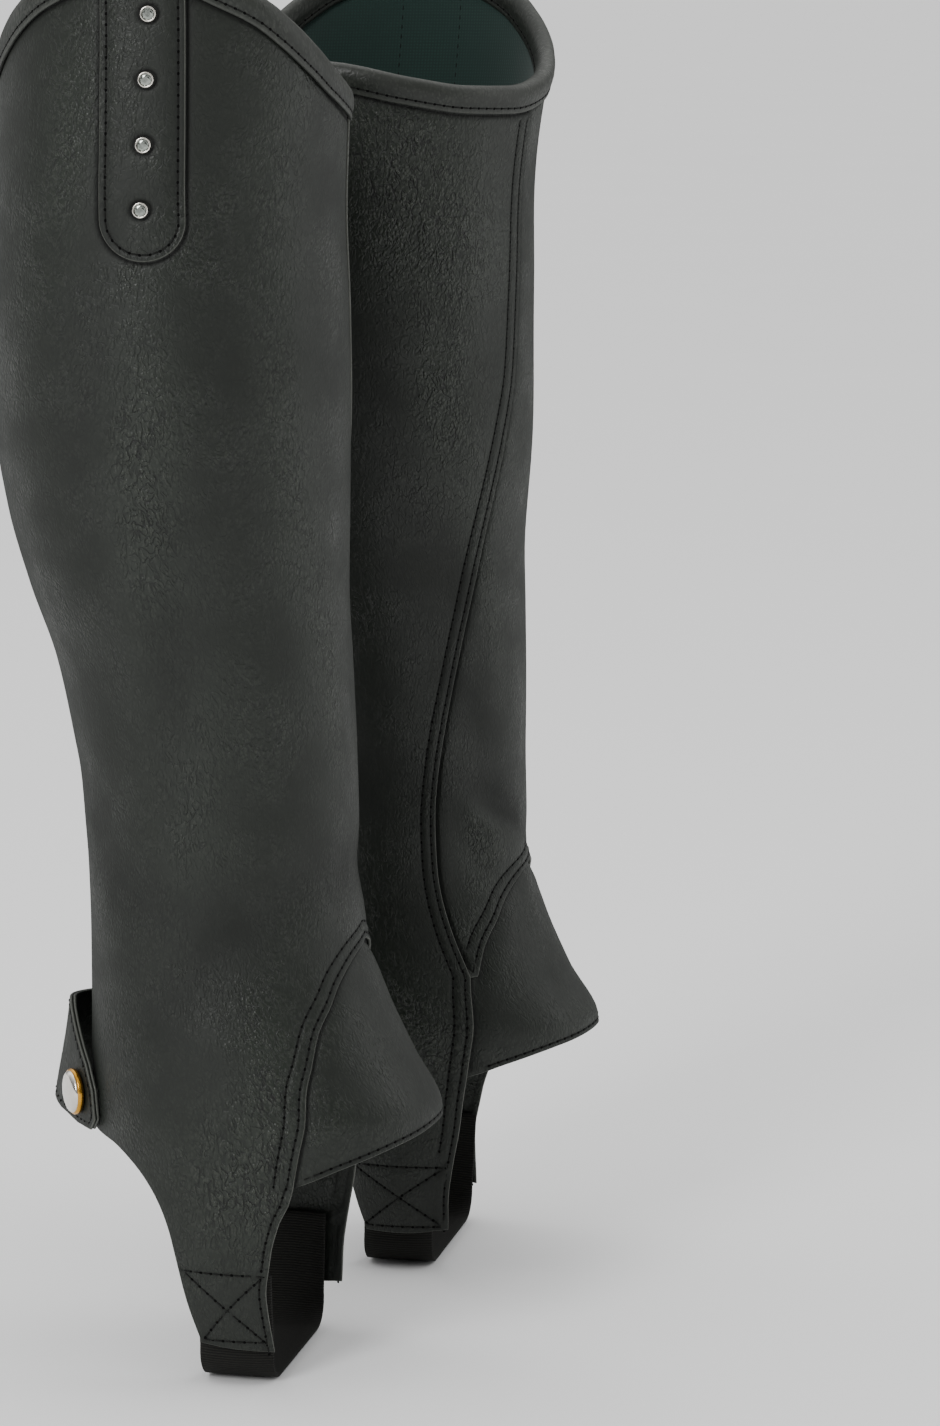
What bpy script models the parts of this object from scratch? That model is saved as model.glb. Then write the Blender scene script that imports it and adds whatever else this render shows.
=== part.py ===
"""A pair of leather half chaps, standing as they do round a rider's calves.

Each chap is a tube of leather panels with a zip down the back, an ankle flap over the
front of the boot and an elastic strap that passes under the sole. Every piece lies on one
leg form, a stack of oval sections. A place on it is a turn in degrees (0 at the back,
90 on the outer side, 180 in front, 270 on the inner side) and a height in millimetres
above the ground. The wearer faces -Y, and the right leg is at -X.
"""

import math
from collections import namedtuple

import bmesh
import bpy
from mathutils import Matrix, Vector
from mathutils.geometry import delaunay_2d_cdt

MM = 0.001
ORIGIN_HEIGHT = 330.0  # the fullest part of the calf, above the ground
MM_PER_DEGREE = 0.9  # girth that one degree of turn takes up, on average

LEATHER = 1.4  # thickness of the panels
LINING = 0.9
SEAM_GAP = 0.3  # between pieces that are sewn edge to edge, or lie on each other
LINING_GAP = 0.8  # the lining hangs a little loose behind the leather
BINDING = 1.0  # thickness of the folded strip on the rim
BINDING_DEPTH = 7.5
BINDING_FIT, BINDING_CLEAR = 0.45, 0.8  # from its outer leaf to the leather, inner leaf to the lining

COLUMN_STEP, EDGE_STEP = 15.0, 7.5  # degrees between a panel's lattice columns, and its rim points
RowSpan = namedtuple("RowSpan", "top step")
ROW_SPANS = [RowSpan(200, 10), RowSpan(296, 16), RowSpan(470, 24)]  # lattice rows, up to each top
FIRST_ROW = 10.0
LATTICE_MARGIN = 3.5  # lattice points keep this far from a panel's outline, mm
LINING_HEM = 100.0  # height of the lining's lower edge

# ---- the leg form: oval sections, sizes forward (+) and back (-) of the leg's axis ----
Section = namedtuple("Section", "height back widest front half_width")
SECTIONS = [
    Section(6, -10, 28, 66, 37),
    Section(30, -18, 28, 74, 40.5),
    Section(60, -24, 30, 85, 43),
    Section(92, -28.2, 26.5, 89, 44.5),
    Section(110, -28, 22.6, 80, 43),
    Section(130, -27.7, 19.6, 70.5, 41),
    Section(150, -27.7, 17.4, 63.8, 39.5),
    Section(185, -29.4, 16, 61.4, 39.5),
    Section(215, -32.8, 13.8, 60.4, 41),
    Section(240, -37.7, 10.8, 59.2, 43.5),
    Section(265, -46.4, 5.8, 58, 47),
    Section(290, -53.3, 2.5, 58.3, 50.5),
    Section(320, -57.6, 0.5, 58.5, 53.5),
    Section(354, -58.6, -0.3, 58, 54.5),
    Section(385, -57.2, 0, 57, 54.1),
    Section(416, -54.6, 1.6, 58, 53.6),
    Section(450, -52, 3.2, 59.5, 53.2),
    Section(480, -51, 4, 60, 53),
]

# ---- soft folds: depth under 0 is a trough, over 0 a swell; tilt is from level ----
Fold = namedtuple("Fold", "turn height tilt length width depth")
RIGHT_FOLDS = [
    Fold(182, 172, 0, 46, 10, -1.6),
    Fold(110, 157, 28, 30, 9, -1.5),
    Fold(84, 134, 20, 26, 9, -1.2),
    Fold(52, 168, -14, 32, 11, -1.4),
    Fold(28, 196, -30, 26, 12, -1.0),
    Fold(92, 240, 78, 62, 10, -1.3),
    Fold(74, 318, 82, 70, 12, -1.1),
    Fold(128, 338, 94, 66, 13, -1.2),
    Fold(290, 176, 12, 36, 11, -1.5),
    Fold(255, 150, -24, 28, 9, -1.2),
    Fold(280, 300, 84, 64, 13, -1.1),
]
LEFT_FOLDS = [
    Fold(200, 174, 12, 48, 9, -2.4),
    Fold(205, 154, 6, 44, 12, 1.6),
    Fold(226, 205, 62, 34, 10, -1.1),
    Fold(262, 184, 16, 30, 11, -1.3),
    Fold(236, 268, 74, 60, 12, -1.3),
    Fold(262, 330, 86, 62, 13, -1.1),
    Fold(112, 168, 20, 34, 10, -1.5),
    Fold(62, 152, -18, 30, 10, -1.2),
    Fold(96, 262, 80, 62, 11, -1.2),
    Fold(66, 330, 84, 60, 13, -1.0),
    Fold(188, 436, 0, 60, 24, 3.0),
    Fold(186, 300, 0, 46, 26, 1.2),
    Fold(180, 88, 0, 30, 12, 2.4),
]

# ---- seams and edges, as (turn, height) along them ----
Point = namedtuple("Point", "turn height")
RIM = [  # the outer side stands up in a crest
    Point(0, 431), Point(18, 434), Point(30, 441), Point(42, 449), Point(56, 456.5),
    Point(72, 462), Point(90, 464.5), Point(108, 462), Point(122, 456.5), Point(134, 451),
    Point(145, 444), Point(157, 436), Point(170, 428.5), Point(186, 423), Point(205, 420),
    Point(226, 420.5), Point(247, 423.5), Point(273, 428.5), Point(310, 431), Point(360, 431),
]
INNER_SEAM = [  # from the rim down to where the flap begins
    Point(192.5, 402), Point(194.5, 359), Point(197, 326), Point(203.5, 300), Point(214.5, 263),
    Point(230, 223), Point(240, 190), Point(243, 166), Point(242, 139), Point(238, 113),
]
FLAP_SEAM = [  # from its top in front of the ankle down the outer side
    Point(180, 149), Point(165, 145.5), Point(149, 138), Point(141, 131.5), Point(132, 123.5),
    Point(125, 113), Point(119, 103), Point(115, 92), Point(112, 81), Point(110.5, 74),
]
FLAP_HEM = [  # from the outer seam round the front to the inner panel
    Point(110.5, 74), Point(127, 80), Point(154, 86.5), Point(180, 89.5),
    Point(206, 87), Point(231, 82), Point(244, 78),
]
OUTER_STRAP_FRONT = [
    Point(110.5, 74), Point(109, 69), Point(105.5, 62), Point(103.5, 52), Point(103.5, 42),
    Point(106, 30), Point(109.5, 18),
]
INNER_STRAP_FRONT = [
    Point(238, 113), Point(243, 95), Point(246, 78), Point(247.5, 66), Point(248, 52),
    Point(247, 38), Point(244, 21),
]
REAR_HEM = [  # from the strap's end up the back of the foot, the same on both sides
    Point(76, 20), Point(71, 34), Point(67, 48), Point(64, 59), Point(59.5, 69.5),
    Point(52, 78), Point(40, 83.5), Point(15, 85.5),
]
HEM_AT_BACK = 86.0

# ---- crest tab, crystals, snap tab ----
TAB_TURN, TAB_BOTTOM, TAB_HALF, TAB_THICK = 96.0, 372.0, 12.9, 1.3
TAB_ARC_STEPS, TAB_ROW_STEP, TAB_BELOW_BINDING = 10, 12.0, 1.2
TAB_LEAN, TAB_LEAN_FROM = 0.038, 400.0  # degrees of turn back for each millimetre above a height
CRYSTAL_HEIGHTS = (388.0, 408.0, 428.0, 448.0)
CRYSTAL_TURN, CRYSTAL_RADIUS, CRYSTAL_PROUD = 96.5, 2.7, 1.9
SNAP_TAB = [
    Point(-36, 121), Point(-16, 124), Point(6, 126), Point(13.5, 121), Point(21, 113.5),
    Point(27.5, 107), Point(32, 99), Point(33, 89.5), Point(28.5, 85.5), Point(16, 85.5),
    Point(4, 88), Point(-9, 91.5), Point(-22, 93.5), Point(-36, 94),
]
SNAP_TAB_THICK = 2.3
SNAP_TAB_LOW, SNAP_TAB_HIGH = 88.0, 126.5
StandOff = namedtuple("StandOff", "turn low high")
SNAP_STAND_OFF = [  # of the snap tab's inner face from the leather, at its lower and its upper edge
    StandOff(-36, 0.8, 0.7), StandOff(-25, 9.8, 3.2), StandOff(-14, 16.0, 5.9),
    StandOff(-5, 14.6, 6.6), StandOff(2, 10.8, 6.2), StandOff(9, 6.2, 5.2),
    StandOff(18, 2.6, 3.6), StandOff(26, 1.2, 2.2), StandOff(33, 0.4, 1.0),
]
SNAP_TURN, SNAP_HEIGHT, SNAP_RADIUS, SNAP_RIM, SNAP_DOME = 19.0, 96.5, 7.6, 1.4, 1.8
SNAP_SEAT, SNAP_FOOT = 0.75, 0.4  # the flat cap stands on a tab that curves away beneath it
SNAP_SIDES, SNAP_FACE_STEP = 20, 2.0

# ---- zip down the back: half widths across it, and depths from the leather's face ----
PANEL_EDGE = 6.0
CHAIN_HALF, CHAIN_OUT, CHAIN_IN = 2.3, -0.4, -2.4
TAPE_OUT, TAPE_IN, TAPE_EDGE = -1.7, -2.3, 10.0
LINING_EDGE = 10.9
ZIP_BOTTOM, ZIP_BELOW_RIM = 90.0, 3.0
SLIDER_HEIGHT, SLIDER_LENGTH, SLIDER_HALF, SLIDER_THICK = 407.0, 13.0, 4.4, 2.2
LUG_HALF, LUG_GAP_HALF, LUG_RADIUS, LUG_RISE = 3.4, 1.9, 1.5, 2.0
PULL_LENGTH, PULL_HALF, PULL_THICK, PULL_EYE_HALF, PULL_EYE_RADIUS = 27.0, 3.6, 1.2, 1.6, 1.2

# ---- elastic under the sole ----
ELASTIC_HALF, ELASTIC_THICK, ELASTIC_TOP, ELASTIC_LOW = 12.5, 1.6, 44.0, 7.0
ELASTIC_FORWARD, ELASTIC_CORNER, ELASTIC_CORNER_STEPS, ELASTIC_SIDE_ROWS = 28.5, 11.0, 6, 4
ELASTIC_INSET, ELASTIC_BOW = 0.8, 2.1  # behind the strap end; its edges follow the foot's curve

# ---- colours (linear), roughness, metallic ----
Finish = namedtuple("Finish", "colour roughness metallic")
LEATHER_FINISH = Finish((0.022, 0.024, 0.023), 0.5, 0.0)
LINING_FINISH = Finish((0.010, 0.030, 0.032), 0.85, 0.0)
WEBBING_FINISH = Finish((0.014, 0.012, 0.012), 0.9, 0.0)
SILVER_FINISH = Finish((0.75, 0.74, 0.72), 0.25, 1.0)
CRYSTAL_FINISH = Finish((0.72, 0.75, 0.76), 0.1, 0.6)

# ---- the two chaps: the left one mirrors the right, a step forward and leaning ----
Chap = namedtuple("Chap", "name x y outward lean folds")
CHAPS = [
    Chap("right", -70.0, 15.0, -1, 0.0, RIGHT_FOLDS),
    Chap("left", 70.0, -17.3, 1, 1.9, LEFT_FOLDS),
]


def hermite(xs, ys, x):
    """The value at x on a smooth curve through the points, with no overshoot between them."""
    if x <= xs[0]:
        return ys[0]
    if x >= xs[-1]:
        return ys[-1]
    slopes = [(ys[i + 1] - ys[i]) / (xs[i + 1] - xs[i]) for i in range(len(xs) - 1)]
    tangents = [slopes[0]]
    for before, after in zip(slopes, slopes[1:]):
        same_way = before * after > 0
        tangents.append(2 * before * after / (before + after) if same_way else 0.0)
    tangents.append(slopes[-1])
    i = max(k for k in range(len(xs) - 1) if xs[k] <= x)
    step = xs[i + 1] - xs[i]
    t = (x - xs[i]) / step
    return (
        ys[i] * (1 + 2 * t) * (1 - t) ** 2
        + tangents[i] * step * t * (1 - t) ** 2
        + ys[i + 1] * t * t * (3 - 2 * t)
        + tangents[i + 1] * step * t * t * (t - 1)
    )


def section_at(height):
    """The leg form's section at a height, between the rows of the table."""
    heights = [row.height for row in SECTIONS]
    columns = list(zip(*SECTIONS))[1:]
    return Section(height, *(hermite(heights, column, height) for column in columns))


def rim_height(turn):
    return hermite([p.turn for p in RIM], [p.height for p in RIM], turn % 360)


def turn_across(across, height):
    """The turn of a point this far across the zip, towards the outer side."""
    return math.degrees(math.asin(across / section_at(height).half_width))


def fold_depth(folds, turn, height):
    total = 0.0
    for fold in folds:
        around = (turn - fold.turn + 180) % 360 - 180
        side, up = around * MM_PER_DEGREE, height - fold.height
        tilt = math.radians(fold.tilt)
        along = side * math.cos(tilt) + up * math.sin(tilt)
        across = up * math.cos(tilt) - side * math.sin(tilt)
        total += fold.depth * math.exp(-((along / fold.length) ** 2) - (across / fold.width) ** 2)
    return total


def form_point(chap, turn, height, proud=0.0):
    """A point of the leg form, in millimetres, moved out from its axis by proud."""
    section = section_at(height)
    angle = math.radians(turn)
    reach = section.widest - section.back if math.cos(angle) > 0 else section.front - section.widest
    forward = section.widest - reach * math.cos(angle)
    sideways = section.half_width * math.sin(angle)
    lean = math.tan(math.radians(chap.lean)) * (height - ORIGIN_HEIGHT)
    out = Vector((math.sin(angle) * reach, -math.cos(angle) * section.half_width)).normalized()
    return Vector((
        chap.x + chap.outward * (sideways + proud * out.x),
        chap.y - (forward + proud * out.y) - lean,
        height - ORIGIN_HEIGHT,
    ))


def skin_point(chap, turn, height, out=0.0):
    """A point this far out from the leather's face, with the folds, in millimetres."""
    place = form_point(chap, turn, height, fold_depth(chap.folds, turn, height))
    return place + skin_normal(chap, turn, height) * out if out else place


def skin_normal(chap, turn, height):
    step = 0.6

    def folded(turn_, height_):
        return form_point(chap, turn_, height_, fold_depth(chap.folds, turn_, height_))

    around = folded(turn + step, height) - folded(turn - step, height)
    upward = folded(turn, height + step) - folded(turn, height - step)
    return (around.cross(upward) * -chap.outward).normalized()


# ---- lines on the skin ----
def resampled(points, spacing):
    """The smooth line through the points, with a point about every so many millimetres."""
    flat = [Vector((p.turn * MM_PER_DEGREE, p.height)) for p in points]
    reach = [0.0]
    for a, b in zip(flat, flat[1:]):
        reach.append(reach[-1] + (b - a).length)
    count = max(1, round(reach[-1] / spacing))
    line = []
    for i in range(count + 1):
        s = reach[-1] * i / count
        turn = hermite(reach, [p.turn for p in points], s)
        line.append(Point(turn, hermite(reach, [p.height for p in points], s)))
    return line


def beside(line, shift):
    """The line moved by so many millimetres to its left, on the skin."""
    moved = []
    for i, p in enumerate(line):
        before, after = line[max(0, i - 1)], line[min(len(line) - 1, i + 1)]
        run = Vector(((after.turn - before.turn) * MM_PER_DEGREE, after.height - before.height))
        run.normalize()
        moved.append(Point(p.turn - run.y * shift / MM_PER_DEGREE, p.height + run.x * shift))
    return moved


def mirrored(line):
    return [Point(360 - p.turn, p.height) for p in reversed(line)]


def stops(start, end, marks, margin):
    """start, the marks between that are clear of both ends, and end."""
    return [start] + [m for m in marks if start + margin < m < end - margin] + [end]


def columns(step):
    return [step * k for k in range(round(360 / step) + 1)]


def lattice_rows():
    rows = [FIRST_ROW]
    for span in ROW_SPANS:
        while rows[-1] + span.step <= span.top:
            rows.append(rows[-1] + span.step)
    return rows


def rim_line(start, end):
    return [Point(t, rim_height(t)) for t in stops(start, end, columns(EDGE_STEP), 2)]


def zip_side(bottom, top, across):
    """A line straight up beside the zip, across millimetres from its middle."""
    return [Point(turn_across(across, h), h) for h in stops(bottom, top, lattice_rows(), 4)]


def closed_outline(*lines):
    """One ring of points from lines that follow on, without points that repeat."""
    ring = []
    for line in lines:
        for p in line:
            away = [math.hypot((p.turn - q.turn) * MM_PER_DEGREE, p.height - q.height)
                    for q in (ring[-1:] + ring[:1])]
            if not away or min(away) > 0.8:
                ring.append(p)
    return ring


def is_inside(flat, ring):
    """Whether a flat point is inside the ring and clear of its sides."""
    inside = False
    for a, b in zip(ring, ring[1:] + ring[:1]):
        if (a.y > flat.y) != (b.y > flat.y):
            if flat.x < (b.x - a.x) * (flat.y - a.y) / (b.y - a.y) + a.x:
                inside = not inside
        run = b - a
        share = max(0.0, min(1.0, (flat - a).dot(run) / run.length_squared))
        if (flat - a - run * share).length < LATTICE_MARGIN:
            return False
    return inside


# ---- meshes ----
def finish_material(name, finish):
    material = bpy.data.materials.new(name)
    material.use_nodes = True
    shader = material.node_tree.nodes["Principled BSDF"]
    shader.inputs["Base Color"].default_value = (*finish.colour, 1)
    shader.inputs["Roughness"].default_value = finish.roughness
    shader.inputs["Metallic"].default_value = finish.metallic
    material.diffuse_color = (*finish.colour, 1)
    return material


def add_object(name, points, faces, finish, flip=False, origin=None):
    """An object from points in millimetres; flip turns every face round."""
    mesh = bpy.data.meshes.new(name)
    origin = origin or Vector((0, 0, 0))
    faces = [tuple(reversed(face)) for face in faces] if flip else faces
    mesh.from_pydata([tuple((p - origin) * MM) for p in points], [], faces)
    mesh.validate()
    mesh.shade_smooth()
    mesh.set_sharp_from_angle(angle=math.radians(35))
    mesh.materials.append(finish_material(name, finish))
    obj = bpy.data.objects.new(name, mesh)
    obj.location = origin * MM
    bpy.context.scene.collection.objects.link(obj)
    return obj


def sheet_of(chap, name, outline, outer, inner, finish, rows=None, column_step=COLUMN_STEP):
    """A wall between two depths over an outline on the skin.

    outer and inner give the depth of each face from the leather's face: a number, or a
    function of the turn and the height. rows are the heights of its lattice.
    """
    def depth(value, turn, height):
        return value(turn, height) if callable(value) else value

    ring = [Vector((p.turn * MM_PER_DEGREE, p.height)) for p in outline]
    flat = list(ring)
    for height in rows or lattice_rows():
        for turn in columns(column_step):
            place = Vector((turn * MM_PER_DEGREE, height))
            if is_inside(place, ring):
                flat.append(place)
    edges = [(i, (i + 1) % len(ring)) for i in range(len(ring))]
    flat, _, triangles, *_ = delaunay_2d_cdt(flat, edges, [], 1, 1e-4)
    places = [(p.x / MM_PER_DEGREE, p.y) for p in flat]
    points = [skin_point(chap, t, h, depth(outer, t, h)) for t, h in places]
    points += [skin_point(chap, t, h, depth(inner, t, h)) for t, h in places]
    count = len(places)
    faces = []
    uses = {}
    for triangle in triangles:
        a, b, c = (flat[i] for i in triangle)
        if (b - a).cross(c - a) < 0:
            triangle = tuple(reversed(triangle))
        faces.append(tuple(triangle))
        faces.append(tuple(i + count for i in reversed(triangle)))
        for i, j in zip(triangle, (*triangle[1:], triangle[0])):
            uses[(i, j)] = True
    for i, j in uses:
        if (j, i) not in uses:
            faces.append((j, i, i + count, j + count))
    return add_object(name, points, faces, finish, flip=chap.outward > 0)


def swept(rings):
    """Points and faces of a solid through rings of equal length, with flat ends."""
    size = len(rings[0])
    points = [p for ring in rings for p in ring]
    faces = []
    for r in range(len(rings) - 1):
        for i in range(size):
            a, b = r * size + i, r * size + (i + 1) % size
            faces.append((a, b, b + size, a + size))
    faces.append(tuple(reversed(range(size))))
    faces.append(tuple(range((len(rings) - 1) * size, len(rings) * size)))
    return points, faces


def add_solid(name, points, faces, finish, origin=None, smooth_angle=35):
    """An object whose faces are turned outwards, and cut into triangles."""
    obj = add_object(name, points, faces, finish, origin=origin)
    shape = bmesh.new()
    shape.from_mesh(obj.data)
    bmesh.ops.triangulate(shape, faces=shape.faces[:])
    bmesh.ops.recalc_face_normals(shape, faces=shape.faces[:])
    shape.to_mesh(obj.data)
    shape.free()
    obj.data.set_sharp_from_angle(angle=math.radians(smooth_angle))
    return obj


# ---- the pieces of one chap ----
def half_gap(line, side):
    return beside(line, side * SEAM_GAP / 2)


def inner_seam_line():
    top = INNER_SEAM[0].turn - 0.6
    return [Point(top, rim_height(top))] + resampled([Point(top, rim_height(top))] + INNER_SEAM, 14)[1:]


def add_outer_panel(chap):
    """The outer side with the front, from the zip round to the inner seam."""
    seam = inner_seam_line()
    rim = rim_line(turn_across(PANEL_EDGE, rim_height(0)), seam[0].turn - 0.2)
    inner_flap = mirrored(resampled(FLAP_SEAM[:6], 9))
    outline = closed_outline(
        zip_side(HEM_AT_BACK, rim[0].height, PANEL_EDGE),
        rim,
        half_gap(seam, -1),
        half_gap(inner_flap, -1),
        half_gap(resampled(FLAP_SEAM, 9), -1),
        resampled(OUTER_STRAP_FRONT, 9)[1:],
        resampled([OUTER_STRAP_FRONT[-1], REAR_HEM[0]], 6)[1:-1],
        resampled(REAR_HEM, 9),
    )
    return sheet_of(chap, f"{chap.name}_outer_panel", outline, 0.0, -LEATHER, LEATHER_FINISH)


def add_inner_panel(chap):
    """The inner side, from the inner seam round to the zip."""
    seam = half_gap(inner_seam_line(), 1)
    zip_line = mirrored(zip_side(HEM_AT_BACK, rim_height(0), PANEL_EDGE))
    inner_hem = list(reversed(mirrored(REAR_HEM)))
    outline = closed_outline(
        list(reversed(zip_line)),
        list(reversed(rim_line(seam[0].turn + 0.2, zip_line[0].turn))),
        seam,
        half_gap(resampled(INNER_STRAP_FRONT, 9), 1),
        resampled([INNER_STRAP_FRONT[-1], inner_hem[0]], 6)[1:-1],
        resampled(inner_hem, 9),
    )
    return sheet_of(chap, f"{chap.name}_inner_panel", outline, 0.0, -LEATHER, LEATHER_FINISH)


def add_ankle_flap(chap):
    """The tongue over the front of the boot."""
    inner_top = mirrored(resampled(FLAP_SEAM[:6], 9))
    inner_side = [p for p in resampled(INNER_STRAP_FRONT, 9) if p.height >= 77]
    outline = closed_outline(
        half_gap(inner_top, 1),
        half_gap(resampled(FLAP_SEAM, 9), 1),
        resampled(FLAP_HEM, 10)[1:-1],
        list(reversed(half_gap(inner_side, -1))),
    )
    return sheet_of(chap, f"{chap.name}_ankle_flap", outline, 0.0, -LEATHER, LEATHER_FINISH)


def add_lining(chap):
    """The cloth inside, from the rim to just above the ankle."""
    top = rim_height(0)
    start = turn_across(LINING_EDGE, top)
    up = zip_side(LINING_HEM, top, LINING_EDGE)
    hem_turns = stops(up[0].turn, 360 - up[0].turn, columns(COLUMN_STEP), 5)
    hem = [Point(turn, LINING_HEM) for turn in reversed(hem_turns)]
    outline = closed_outline(up, rim_line(start, 360 - start), mirrored(up), hem)
    outer = -LEATHER - LINING_GAP
    return sheet_of(chap, f"{chap.name}_lining", outline, outer, outer - LINING, LINING_FINISH)


def binding_profile():
    """(depth, rise) round the folded strip: open below, over the leather and the lining."""
    inside = -LEATHER - LINING_GAP - LINING - BINDING_CLEAR
    outer, inner = BINDING_FIT + BINDING, inside - BINDING
    low, top = -BINDING_DEPTH, BINDING_FIT + BINDING
    return [
        (outer, low), (outer, -0.5), (outer - 0.8, top), (inner + 0.8, top), (inner, -0.5),
        (inner, low), (inside, low), (inside, BINDING_FIT), (BINDING_FIT, BINDING_FIT),
        (BINDING_FIT, low),
    ]


def add_top_binding(chap):
    start = turn_across(PANEL_EDGE + BINDING_FIT, rim_height(0))
    line = rim_line(start, 360 - start)
    risen = [(out, beside(line, rise)) for out, rise in binding_profile()]
    rings = []
    for i in range(len(line)):
        rings.append([skin_point(chap, *moved[i], out) for out, moved in risen])
    return add_solid(f"{chap.name}_top_binding", *swept(rings), LEATHER_FINISH)


def tab_point(across, height):
    """A point of the crest tab, which leans back a little on its way up."""
    return Point(TAB_TURN - TAB_LEAN * (height - TAB_LEAN_FROM) + across, height)


def add_crest_tab(chap):
    """The strip with a round end that carries the crystals, from the binding down."""
    wide = TAB_HALF / MM_PER_DEGREE / 1.05
    centre = TAB_BOTTOM + TAB_HALF
    top = []
    for i in range(5):
        across = wide * (1 - i / 2)
        height = rim_height(TAB_TURN + across) - BINDING_DEPTH - TAB_BELOW_BINDING
        turn = tab_point(across, height).turn
        top.append(Point(turn, rim_height(turn) - BINDING_DEPTH - TAB_BELOW_BINDING))
    arc = []
    for i in range(TAB_ARC_STEPS + 1):
        angle = math.pi * (1 + i / TAB_ARC_STEPS)
        arc.append(tab_point(wide * math.cos(angle), centre + TAB_HALF * math.sin(angle)))
    rows = [centre + TAB_ROW_STEP * i for i in range(7)]
    rise = [h for h in rows[1:] if h < top[0].height - TAB_ROW_STEP / 2]
    outline = closed_outline(
        arc,
        [tab_point(wide, h) for h in rise],
        top,
        [tab_point(-wide, h) for h in reversed(rise)],
    )
    return sheet_of(chap, f"{chap.name}_crest_tab", outline, SEAM_GAP + TAB_THICK, SEAM_GAP,
                    LEATHER_FINISH, rows, EDGE_STEP)


def local_frame(chap, turn, height, out):
    """The matrix of a round piece on the skin: its Z points out of the leather."""
    normal = skin_normal(chap, turn, height)
    side = Vector((0, 0, 1)).cross(normal).normalized()
    up = normal.cross(side)
    place = skin_point(chap, turn, height, out)
    return Matrix((side, up, normal)).transposed().to_4x4(), place


def add_turned(chap, name, turn, height, out, profile, sides, finish):
    """A round piece standing on the skin, from (radius, rise) pairs; it ends on its axis."""
    turning, place = local_frame(chap, turn, height, out)
    points, faces = [], []
    for radius, rise in profile:
        for i in range(sides):
            angle = 2 * math.pi * i / sides
            spot = Vector((radius * math.cos(angle), radius * math.sin(angle), rise))
            points.append(place + turning @ spot)
    for ring in range(len(profile) - 1):
        for i in range(sides):
            a, b = ring * sides + i, ring * sides + (i + 1) % sides
            faces.append((a, b, b + sides, a + sides))
    faces.append(tuple(reversed(range(sides))))
    faces.append(tuple(range(len(points) - sides, len(points))))
    return add_solid(name, points, faces, finish, smooth_angle=50)


def add_crystals(chap):
    """Four stones in round cups down the crest tab."""
    radius, proud = CRYSTAL_RADIUS, CRYSTAL_PROUD
    profile = [(radius, 0), (radius, proud * 0.55), (radius * 0.72, proud)]
    base = 2 * SEAM_GAP + TAB_THICK
    for number, height in enumerate(CRYSTAL_HEIGHTS, start=1):
        add_turned(chap, f"{chap.name}_crystal_{number}", CRYSTAL_TURN, height, base,
                   profile, 12, CRYSTAL_FINISH)


def stand_off(turn, height):
    """The snap tab's bulge over the end of the zip, between its low and its high edge."""
    turns = [row.turn for row in SNAP_STAND_OFF]
    low = hermite(turns, [row.low for row in SNAP_STAND_OFF], turn)
    high = hermite(turns, [row.high for row in SNAP_STAND_OFF], turn)
    return low + (high - low) * (height - SNAP_TAB_LOW) / (SNAP_TAB_HIGH - SNAP_TAB_LOW)


def add_snap_tab(chap):
    """The tab that wraps from the inner side over the end of the zip."""
    outline = closed_outline(*(
        resampled([a, b], 6) for a, b in zip(SNAP_TAB, SNAP_TAB[1:] + SNAP_TAB[:1])
    ))
    outline.reverse()

    def outer(turn, height):
        return stand_off(turn, height) + SNAP_TAB_THICK

    return sheet_of(chap, f"{chap.name}_snap_tab", outline, outer, stand_off, LEATHER_FINISH)


def add_snap_cap(chap):
    """The metal cap of the snap, square to the tab's slanting face."""
    def face(turn, height):
        proud = stand_off(turn, height) + SNAP_TAB_THICK
        return skin_point(chap, turn, height, proud)

    step = SNAP_FACE_STEP
    place = face(SNAP_TURN, SNAP_HEIGHT)
    around = face(SNAP_TURN + step, SNAP_HEIGHT) - face(SNAP_TURN - step, SNAP_HEIGHT)
    upward = face(SNAP_TURN, SNAP_HEIGHT + step) - face(SNAP_TURN, SNAP_HEIGHT - step)
    normal = (around.cross(upward) * -chap.outward).normalized()
    side = Vector((0, 0, 1)).cross(normal).normalized()
    turning = Matrix((side, normal.cross(side), normal)).transposed()
    shoulder = SNAP_SEAT + SNAP_RIM
    profile = [(SNAP_RADIUS * 0.8, SNAP_SEAT), (SNAP_RADIUS, SNAP_SEAT + SNAP_FOOT),
               (SNAP_RADIUS, shoulder), (SNAP_RADIUS * 0.75, shoulder + SNAP_DOME * 0.7),
               (SNAP_RADIUS * 0.3, shoulder + SNAP_DOME)]
    angles = [2 * math.pi * i / SNAP_SIDES for i in range(SNAP_SIDES)]
    rings = []
    for radius, rise in profile:
        rings.append([
            place + turning @ Vector((radius * math.cos(a), radius * math.sin(a), rise))
            for a in angles
        ])
    return add_solid(f"{chap.name}_snap_cap", *swept(rings), SILVER_FINISH)


def add_zip_strip(chap, name, side, inner_edge, outer_edge, depths, top, finish, middle=None):
    """A strip up the back between two distances across the zip, on one side of it."""
    out, deep = depths
    across = [inner_edge, outer_edge] if middle is None else [inner_edge, middle, outer_edge]
    heights = [p.height for p in zip_side(ZIP_BOTTOM, top, PANEL_EDGE)]
    rings = []
    for height in heights:
        turns = [side * turn_across(a, height) for a in across]
        face = [skin_point(chap, t, height, out) for t in turns]
        back = [skin_point(chap, t, height, deep) for t in reversed(turns)]
        rings.append(face + back)
    return add_solid(name, *swept(rings), finish)


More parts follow.
